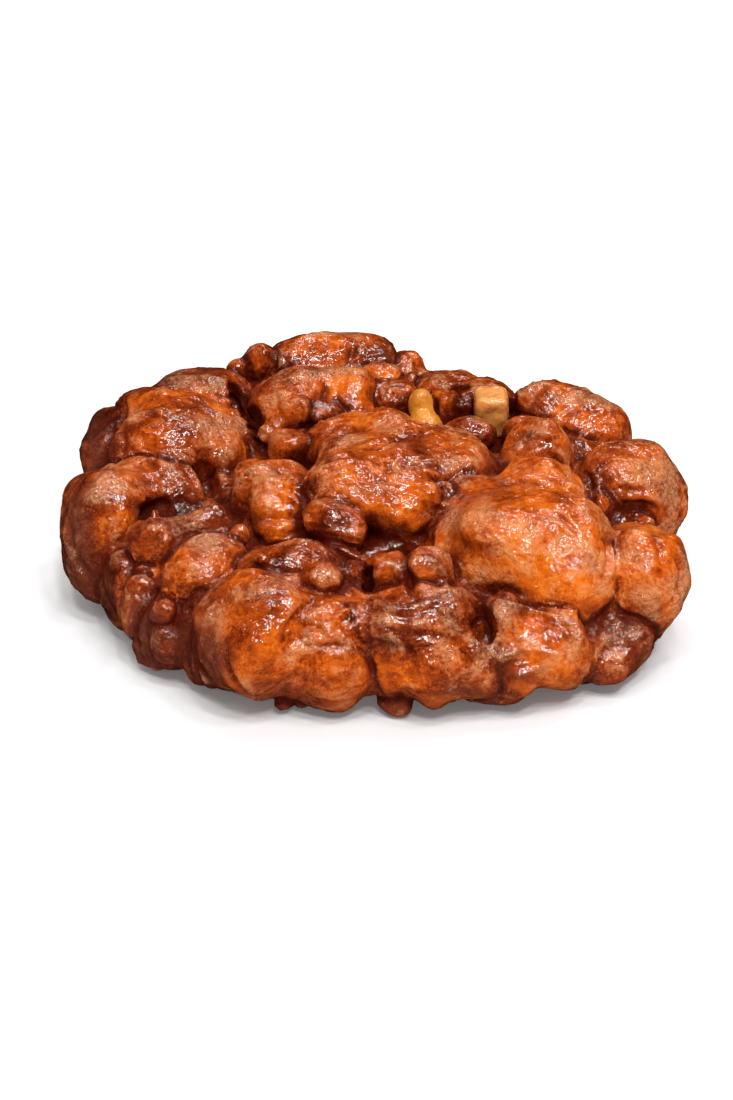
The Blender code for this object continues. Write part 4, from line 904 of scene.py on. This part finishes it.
def fewer(ob, faces, weight=None):
    """Collapse edges until about this many triangles are left, least where weight is high. It works in mm, as the costs of very small edges are lost."""
    write(ob.data, read(ob.data) * 1e6)
    md = ob.modifiers.new('fewer', 'DECIMATE')
    md.ratio = min(1.0, faces / (2.0 * len(ob.data.polygons)))
    md.use_collapse_triangulate = True
    if weight is not None:
        group = ob.vertex_groups.new(name='keep')
        levels = np.round(weight * 9).astype(int)   # never the full weight, which would lock the points
        for k in range(1, 10):
            group.add([int(i) for i in np.nonzero(levels == k)[0]], k / 10, 'REPLACE')
        md.vertex_group = 'keep'
        md.invert_vertex_group = True
        md.vertex_group_factor = 0.002
    dg = bpy.context.evaluated_depsgraph_get()
    me = bpy.data.meshes.new_from_object(ob.evaluated_get(dg))
    ob.modifiers.clear()
    ob.vertex_groups.clear()
    old = ob.data
    ob.data = me
    bpy.data.meshes.remove(old)
    write(me, read(me))
    me.name = ob.name
    me.shade_smooth()
    return me


# the dough's field, with the flat foot and the pockets of the apple pieces
g = field('dough', PITCH)
zs = GRID_LOW[2] + PITCH * np.arange(g.shape[2])
apple = {}
for part in ('apple_piece_1', 'apple_piece_2'):
    a = field(part, PITCH)
    g = np.maximum(g, 0.25 - a)
    apple[part] = a
whole = np.minimum(np.minimum(g, apple['apple_piece_1']), apple['apple_piece_2'])
g = np.maximum(g, -zs[None, None, :])
points, quads = skin(g, PITCH)
dough = mesh_of('fritter_dough', points, quads)
me = dough.data
normal = read(me, 'normal')
p = points - SHIFT

# folds, lips and creases
raised = np.zeros(len(p))
for width, height, line in FOLDS:
    c, hit = on_surface(smooth(line), g, PITCH)
    c = c[hit]
    if not len(c):
        continue
    reach = 3.2 * width
    m = np.nonzero(((p > c.min(0) - reach) & (p < c.max(0) + reach)).all(1))[0]
    if not len(m):
        continue
    d = np.full(len(m), 99.0)
    at = np.zeros(len(m))
    for k in range(0, len(c), 8):
        dd = np.sqrt(((p[m, None, :] - c[None, k:k + 8, :]) ** 2).sum(-1))
        j = dd.argmin(1)
        dk = dd[np.arange(len(m)), j]
        at = np.where(dk < d, k + j, at)
        d = np.minimum(d, dk)
    taper = np.clip(np.minimum(at, len(c) - 1 - at) / 6.0, 0.15, 1)
    shape = np.exp(-(d / width) ** 2) - 0.28 * np.exp(-((d - 2 * width) / width) ** 2)
    raised[m] += height * 0.95 * shape * taper

# wrinkles alongside the joints of the lobes, and the unevenness of a fried skin
gap, _, phase = nearest_two(p)
flat = np.clip(p[:, 2] / 1.2, 0, 1)
raised += relief(p, gap, phase)
raised = np.clip(raised, -1.6, 1.3) * flat
moved = points + normal * raised[:, None]
moved[:, 2] = np.maximum(moved[:, 2], 0.0)
write(me, moved)

# fewer triangles, most of them kept where the surface is seen
u, v = in_view(p)
normal2 = read(me, 'normal')
facing = np.clip(-(normal2 @ AWAY) * 1.6 + 0.55, 0, 1)
weight = np.clip(0.45 + 0.55 * facing, 0, 1) * np.where(normal2[:, 2] < -0.6, 0.5, 1.0)
me = fewer(dough, SKIN_FACES, weight)

# what the colours follow, at each point of the skin
q = read(me) * 1000
q[:, 2] = np.maximum(q[:, 2], 0.0)
write(me, q)
q = q - SHIFT
n = read(me, 'normal')
gap, tone, phase = nearest_two(q)
# painted shade: how hidden each point is, read from the dough's field out along its normal and up towards the open sky;
# it turns the colour deep red and thins the coat and the milky sugar there
painted_shade = 0
for reach, share in ((0.8, 0.2), (1.8, 0.3), (3.5, 0.3), (6.0, 0.2)):
    painted_shade = painted_shade + share * np.clip(1 - sample(whole, q + n * reach, PITCH) / reach, 0, 1)
open_up = np.zeros(len(q))
for dx, dy in ((0, 0), (0.7, 0), (-0.7, 0), (0, 0.7), (0, -0.7)):
    way = np.array([dx, dy, 1.0])
    way /= np.linalg.norm(way)
    t = np.full(len(q), 0.8)
    clear = np.ones(len(q))
    for _ in range(10):
        s = sample(whole, q + n * 0.5 + way * t[:, None], PITCH)
        clear = np.minimum(clear, np.clip(s / (0.25 * t) + 0.3, 0, 1))
        t += np.clip(s, 0.5, 4)
    open_up += clear / 5
crest = np.zeros(len(q))
groove = np.zeros(len(q))
for width, height, line in FOLDS:
    c, hit = on_surface(smooth(line, 0.8), g, PITCH)
    c = c[hit]
    if not len(c):
        continue
    m = np.nonzero(((q > c.min(0) - 3) & (q < c.max(0) + 3)).all(1))[0]
    if not len(m):
        continue
    d = np.sqrt(((q[m, None, :] - c[None, :, :]) ** 2).sum(-1)).min(1)
    if height > 0:
        crest[m] = np.maximum(crest[m], np.exp(-(d / (0.9 * width)) ** 2) * min(1, height / 0.7))
    else:
        groove[m] = np.maximum(groove[m], np.exp(-(d / (0.8 * width)) ** 2) * min(1, -height / 0.6))
fine_relief = relief(q, gap, phase)
seam = np.exp(-(gap / 0.6) ** 2)
lines = np.sin(2 * math.pi * (gap + 0.5 * noise(q, 3.0, 1, 9)) / 1.35 + phase) * np.exp(-gap / 2.6)
# milky sugar, with painted sheen: paler on upward faces, along the crests of folds and on raised wrinkles
milk_and_sheen = 0.14 + 0.14 * np.clip(n[:, 2], 0, 1) + 0.50 * crest + 0.28 * noise(q, 6.0, 2, 41) + 0.70 * fine_relief - 0.25 * seam + 0.16 * lines - 0.30 * groove
# plum glaze near the joints, and painted shade: plum on the low sides and on the downward-facing faces
plum_and_shade = 0.10 * np.exp(-(gap / 1.5)) + 0.75 * np.clip((11 - q[:, 2]) / 11, 0, 1) + 0.25 * np.clip(-n[:, 2], 0, 1)
# the tone is lower at the joins (dark joints) and follows the relief, lower in its creases and dips and higher on its
# bumps (painted shade)
tone = tone - 0.20 * np.exp(-gap / 2.0) - 0.20 * seam + 0.16 * noise(q, 7.0, 2, 51) + 0.70 * fine_relief + 0.10 * lines - 0.26 * groove
u, v = in_view(q)
centres, hit = on_surface([t[0:2] for t in TINTS], g, PITCH)
for (cu, cv, ru, rv, dt, more_milk_sheen, more_plum_shade), c, ok in zip(TINTS, centres, hit):
    far = np.linalg.norm(q - c, axis=1) / (2.0 * max(ru, rv) / PX + 2)
    near = np.exp(-((u - cu) / ru) ** 2 - ((v - cv) / rv) ** 2 - far ** 4)
    tone += dt * near
    milk_and_sheen += more_milk_sheen * near
    plum_and_shade += more_plum_shade * near
attribute(me, 'tone', np.clip(tone, 0, 1.2))
attribute(me, 'milk_and_sheen', np.clip(milk_and_sheen, 0, 1))
attribute(me, 'plum_and_shade', np.clip(plum_and_shade, 0, 1))
attribute(me, 'painted_shade', np.clip(painted_shade * (1.3 - 0.5 * open_up) + 0.06 * seam, 0, 1))


# ---------------------------------------------------------------- materials
class Nodes:
    """Short calls for making a material's nodes."""

    def __init__(self, name):
        self.m = bpy.data.materials.new(name)
        self.m.use_nodes = True
        self.t = self.m.node_tree
        self.bsdf = self.t.nodes['Principled BSDF']
        self.coords = self.t.nodes.new('ShaderNodeTexCoord').outputs['Object']

    def link(self, a, b):
        if isinstance(a, (int, float, tuple)):
            b.default_value = a
        else:
            self.t.links.new(a, b)

    def math(self, op, a, b=None, c=None, clamp=False):
        x = self.t.nodes.new('ShaderNodeMath')
        x.operation = op
        x.use_clamp = clamp
        for s, val in zip(x.inputs, (a, b, c)):
            if val is not None:
                self.link(val, s)
        return x.outputs[0]

    def attr(self, name):
        x = self.t.nodes.new('ShaderNodeAttribute')
        x.attribute_name = name
        return x.outputs['Fac']

    def stretch(self, scale, turn=(0, 0, 0)):
        x = self.t.nodes.new('ShaderNodeMapping')
        x.inputs['Scale'].default_value = scale
        x.inputs['Rotation'].default_value = turn
        self.t.links.new(self.coords, x.inputs['Vector'])
        return x.outputs[0]

    def noise(self, scale, detail=3.0, rough=0.55, distort=0.0, at=None, output='Fac'):
        x = self.t.nodes.new('ShaderNodeTexNoise')
        x.inputs['Scale'].default_value = scale
        x.inputs['Detail'].default_value = detail
        x.inputs['Roughness'].default_value = rough
        x.inputs['Distortion'].default_value = distort
        self.t.links.new(at or self.coords, x.inputs['Vector'])
        return x.outputs[output]

    def cells(self, scale, feature='F1', smooth_=0.6, at=None):
        x = self.t.nodes.new('ShaderNodeTexVoronoi')
        x.feature = feature
        x.inputs['Scale'].default_value = scale
        if feature == 'SMOOTH_F1':
            x.inputs['Smoothness'].default_value = smooth_
        self.t.links.new(at or self.coords, x.inputs['Vector'])
        return x.outputs['Distance']

    def ramp(self, fac, stops):
        x = self.t.nodes.new('ShaderNodeValToRGB')
        r = x.color_ramp
        r.elements[0].position, r.elements[0].color = stops[0][0], (*stops[0][1], 1)
        r.elements[1].position, r.elements[1].color = stops[-1][0], (*stops[-1][1], 1)
        for pos, col in stops[1:-1]:
            r.elements.new(pos).color = (*col, 1)
        self.t.links.new(fac, x.inputs[0])
        return x.outputs[0]

    def mix(self, fac, a, b, how='MIX'):
        x = self.t.nodes.new('ShaderNodeMix')
        x.data_type = 'RGBA'
        x.blend_type = how
        x.clamp_factor = True
        for val, s in ((fac, x.inputs[0]), (a, x.inputs[6]), (b, x.inputs[7])):
            if isinstance(val, tuple):
                val = (*val, 1) if len(val) == 3 else val
            self.link(val, s)
        return x.outputs[2]

    def span(self, x, a, b, lo=0.0, hi=1.0):
        """x from a..b to lo..hi, smoothly."""
        r = self.t.nodes.new('ShaderNodeMapRange')
        r.interpolation_type = 'SMOOTHSTEP'
        self.t.links.new(x, r.inputs['Value'])
        for name, val in (('From Min', a), ('From Max', b), ('To Min', lo), ('To Max', hi)):
            r.inputs[name].default_value = val
        return r.outputs[0]

    def bump(self, height, strength, distance_, under=None):
        x = self.t.nodes.new('ShaderNodeBump')
        x.inputs['Strength'].default_value = strength
        x.inputs['Distance'].default_value = distance_
        self.t.links.new(height, x.inputs['Height'])
        if under is not None:
            self.t.links.new(under, x.inputs['Normal'])
        return x.outputs[0]


def glazed_dough():
    k = Nodes('glazed_crust')
    b = k.bsdf.inputs
    tone, milk_and_sheen, plum_and_shade, painted_shade = (k.attr(s) for s in ('tone', 'milk_and_sheen', 'plum_and_shade', 'painted_shade'))
    broad = k.span(k.noise(210, 3, 0.55, 0.4), 0.34, 0.66)
    along = k.stretch((0.80, 1.0, 1.0), (0.15, 0.25, 0.45))
    mottle = k.span(k.noise(520, 3, 0.60, 0.7, along), 0.36, 0.64)
    grain = k.noise(1150, 3, 0.64, 0.5, along)
    fine = k.noise(2300, 2, 0.6)
    level = [k.math('SUBTRACT', s, 0.5) for s in (grain, fine)]
    # windows of clear, smooth glaze between the grainy places
    rough = k.span(k.noise(205, 2, 0.5, 0.5, k.stretch((1, 1, 1), (0.7, 0.3, 0.1))), 0.58, 0.46, 0.22, 1.0)
    # milky sugar and painted sheen lie in patches, and break up into grains
    patch = k.math('MULTIPLY_ADD', broad, 0.42, milk_and_sheen)
    patch = k.math('MULTIPLY_ADD', mottle, 0.22, patch)
    patch = k.math('MULTIPLY_ADD', painted_shade, -0.55, patch)
    patch = k.span(patch, 0.46, 1.12)
    flecks = k.span(grain, 0.42, 0.62)
    pits = k.span(grain, 0.52, 0.30)
    t = k.math('MULTIPLY_ADD', broad, 0.17, tone)
    t = k.math('MULTIPLY_ADD', mottle, 0.20, t)
    t = k.math('MULTIPLY_ADD', k.math('MULTIPLY', pits, k.math('MULTIPLY_ADD', patch, 0.3, 0.4)), -0.36, t)
    t = k.math('MULTIPLY_ADD', k.math('MULTIPLY', level[1], rough), 0.60, t)
    t = k.math('MULTIPLY_ADD', rough, -0.07, t)
    t = k.math('SUBTRACT', t, 0.085)
    colour = k.ramp(t, RAMP)
    # plum glaze and the painted shade of the low and downward-facing sides
    m = k.math('MULTIPLY', plum_and_shade, k.span(mottle, 0.0, 1.0, 0.6, 1.2), clamp=True)
    colour = k.mix(m, colour, PLUM_AND_SHADE)
    # painted shade: the hidden places turn deep red
    dark = k.span(painted_shade, 0.18, 0.76, 0.0, 0.94)
    colour = k.mix(dark, colour, HOLLOW_SHADE_RED)
    # over dark crust the sugar is thin and takes on its colour
    milk_sheen_mix = k.math('MULTIPLY', patch, k.math('MULTIPLY_ADD', flecks, 0.36, 0.26))
    # painted glints: tiny light specks added to the milky sugar
    painted_glints = k.math('MULTIPLY', k.span(fine, 0.56, 0.70), k.math('MULTIPLY_ADD', patch, 0.34, 0.20))
    milk_sheen_mix = k.math('MULTIPLY_ADD', painted_glints, rough, milk_sheen_mix)
    milk_sheen_mix = k.math('MULTIPLY', milk_sheen_mix, k.span(t, 0.10, 0.62, 0.35, 1.0))
    colour = k.mix(milk_sheen_mix, colour, MILK_AND_SHEEN)
    k.t.links.new(colour, b['Base Color'])
    k.t.links.new(k.span(painted_shade, 0.1, 0.7, 0.30, 0.60), b['Roughness'])
    b['Specular IOR Level'].default_value = 0.24
    b['Specular Tint'].default_value = (1.0, 0.58, 0.34, 1.0)
    hidden = k.math('MULTIPLY_ADD', plum_and_shade, 0.25, painted_shade)
    k.t.links.new(k.span(hidden, 0.20, 0.70, 1.0, 0.07), b['Coat Weight'])
    b['Coat Roughness'].default_value = 0.06
    b['Coat IOR'].default_value = 1.55
    ripples = k.math('SUBTRACT', k.noise(640, 2.0, 0.5, 0.2, k.stretch((1.0, 1.0, 1.7), (0.2, 0.5, 0.9))), 0.5)
    glaze = k.bump(k.noise(300, 2.0, 0.45, 0.3), 1.0, 0.0009)
    glaze = k.bump(k.math('MULTIPLY', ripples, k.math('MULTIPLY_ADD', patch, 0.95, 0.18)), 1.0, 0.00034, glaze)
    crust = k.bump(k.math('MULTIPLY', level[0], k.math('MULTIPLY_ADD', patch, 0.85, 0.15)), 1.0, 0.00060, glaze)
    crust = k.bump(k.math('MULTIPLY', level[1], k.math('MULTIPLY_ADD', patch, 0.90, 0.10)), 1.0, 0.00034, crust)
    glint = k.math('SUBTRACT', k.noise(980, 1.0, 0.5, 0.2), 0.5)
    glaze = k.bump(k.math('MULTIPLY', glint, k.math('MULTIPLY', rough, k.math('MULTIPLY_ADD', patch, 0.55, 0.42))), 1.0, 0.00038, glaze)
    k.t.links.new(crust, b['Normal'])
    k.t.links.new(glaze, b['Coat Normal'])
    return k.m


def apple_flesh(name, light, deep, rim):
    k = Nodes(name)
    b = k.bsdf.inputs
    broad = k.noise(380, 3, 0.6)
    fibre = k.noise(900, 3, 0.6, 0.3, k.stretch((2.2, 1.0, 0.7), (0.4, 0.1, 0.2)))
    edge = k.attr('edge')
    colour = k.mix(k.span(broad, 0.35, 0.7), light, deep)
    colour = k.mix(k.span(fibre, 0.45, 0.75, 0.0, 0.35), colour, rim)
    colour = k.mix(edge, colour, rim)
    k.t.links.new(colour, b['Base Color'])
    k.t.links.new(k.span(fibre, 0.3, 0.7, 0.22, 0.42), b['Roughness'])
    b['Coat Weight'].default_value = 0.5
    b['Coat Roughness'].default_value = 0.14
    b['Subsurface Weight'].default_value = 0.25
    b['Subsurface Radius'].default_value = (1.0, 0.6, 0.2)
    b['Subsurface Scale'].default_value = 0.0025
    h = k.bump(fibre, 0.45, 0.0005)
    h = k.bump(k.noise(2600, 2, 0.6), 0.3, 0.0002, h)
    k.t.links.new(h, b['Normal'])
    return k.m


me.materials.clear()
me.materials.append(glazed_dough())
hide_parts('dough')
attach(dough, 'root' if 'root' in frame['bodies'] else sorted(frame['bodies'])[0])

for part, slot_, look in (('apple_piece_1', 'apple_yellow', APPLE_YELLOW), ('apple_piece_2', 'apple_tan', APPLE_TAN)):
    ls = [l for l in LOBES if l['part'] == part]
    lo = np.min([l['c'] - np.abs(l['R']) @ l['r'] for l in ls], 0) - 2
    hi = np.max([l['c'] + np.abs(l['R']) @ l['r'] for l in ls], 0) + 2
    a = field(part, PIECE_PITCH, lo, hi)
    pts, qs = skin(a, PIECE_PITCH, lo)
    ob = mesh_of(part + '_flesh', pts, qs)
    nn = read(ob.data, 'normal')
    pp = pts - SHIFT
    lift = 0.10 * noise(pp, 1.6, 2, 61) + 0.14 * noise(pp * np.array([1.0, 1.0, 0.45]), 1.1, 1, 62)
    write(ob.data, pts + nn * np.clip(lift, -0.2, 0.1)[:, None])
    ob.data.shade_smooth()
    depth = sample(g, pp, PITCH)
    attribute(ob.data, 'edge', np.clip(0.9 - depth / 1.6, 0, 0.9))
    ob.data.materials.append(apple_flesh(slot_, *look))
    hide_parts(part)
    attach(ob, 'root' if 'root' in frame['bodies'] else sorted(frame['bodies'])[0])

# ------------------------------------------------------- floor, lights, camera
floor_mesh = bpy.data.meshes.new('floor')
e = 3.0
floor_mesh.from_pydata([(-e, -e, 0), (e, -e, 0), (e, e, 0), (-e, e, 0)], [], [(0, 1, 2, 3)])
floor = bpy.data.objects.new('floor', floor_mesh)
floor.location = (0, 0, -0.0002)
bpy.context.scene.collection.objects.link(floor)
fm = bpy.data.materials.new('pale_floor')
fm.use_nodes = True
fm.node_tree.nodes['Principled BSDF'].inputs['Base Color'].default_value = (0.93, 0.93, 0.93, 1)
fm.node_tree.nodes['Principled BSDF'].inputs['Roughness'].default_value = 0.75
fm.node_tree.nodes['Principled BSDF'].inputs['Specular IOR Level'].default_value = 0.2
fm.node_tree.nodes['Principled BSDF'].inputs['Emission Color'].default_value = (1, 1, 1, 1)
fm.node_tree.nodes['Principled BSDF'].inputs['Emission Strength'].default_value = 0.10
floor_mesh.materials.append(fm)
floor.visible_glossy = False

world = bpy.data.worlds.new('studio')
world.use_nodes = True
world.node_tree.nodes['Background'].inputs[0].default_value = (1, 1, 1, 1)
world.node_tree.nodes['Background'].inputs[1].default_value = WORLD
world.cycles_visibility.glossy = False
bpy.context.scene.world = world


backdrop_mesh = bpy.data.meshes.new('backdrop')
bm = bmesh.new()
bmesh.ops.create_uvsphere(bm, u_segments=48, v_segments=24, radius=8.0)
bmesh.ops.reverse_faces(bm, faces=bm.faces)
bm.to_mesh(backdrop_mesh)
bm.free()
backdrop = bpy.data.objects.new('backdrop', backdrop_mesh)
bpy.context.scene.collection.objects.link(backdrop)
wm = bpy.data.materials.new('white_backdrop')
wm.use_nodes = True
wm.node_tree.nodes['Principled BSDF'].inputs['Base Color'].default_value = (0, 0, 0, 1)
wm.node_tree.nodes['Principled BSDF'].inputs['Emission Color'].default_value = (1, 1, 1, 1)
wm.node_tree.nodes['Principled BSDF'].inputs['Emission Strength'].default_value = 1.0
backdrop_mesh.materials.append(wm)
for way in ('visible_diffuse', 'visible_glossy', 'visible_transmission', 'visible_volume_scatter', 'visible_shadow'):
    setattr(backdrop, way, False)


def far_softbox(name, azimuth, elevation, spread_, strength, colour=(1, 1, 1)):
    """A round softbox far away: azimuth 0 is the camera's side and 90 the right, spread its width in degrees."""
    d = bpy.data.lights.new(name, 'SUN')
    d.energy = strength
    d.angle = math.radians(spread_)
    d.color = colour
    o = bpy.data.objects.new(name, d)
    az, el = math.radians(azimuth), math.radians(elevation)
    back = Vector((math.sin(az) * math.cos(el), -math.cos(az) * math.cos(el), math.sin(el)))
    o.rotation_euler = back.to_track_quat('Z', 'Y').to_euler()
    o.location = back * 2.0
    bpy.context.scene.collection.objects.link(o)


for light in LIGHTS:
    far_softbox(*light)

aim = Vector(tuple((AIM + SHIFT) * 0.001))
eye = Vector(tuple((EYE + SHIFT) * 0.001))
cam_data = bpy.data.cameras.new('camera')
cam_data.sensor_width = 36.0
cam_data.lens = VIEW_SCALE * VIEW_DISTANCE * 36.0 / 1100.0
cam_data.clip_start, cam_data.clip_end = 0.01, 20.0
camera = bpy.data.objects.new('camera', cam_data)
camera.location = eye
camera.rotation_euler = (aim - eye).to_track_quat('-Z', 'Y').to_euler()
bpy.context.scene.collection.objects.link(camera)
bpy.context.scene.camera = camera
bpy.context.scene.view_settings.view_transform = 'Standard'
bpy.context.scene.view_settings.look = 'None'

bpy.context.view_layer.update()
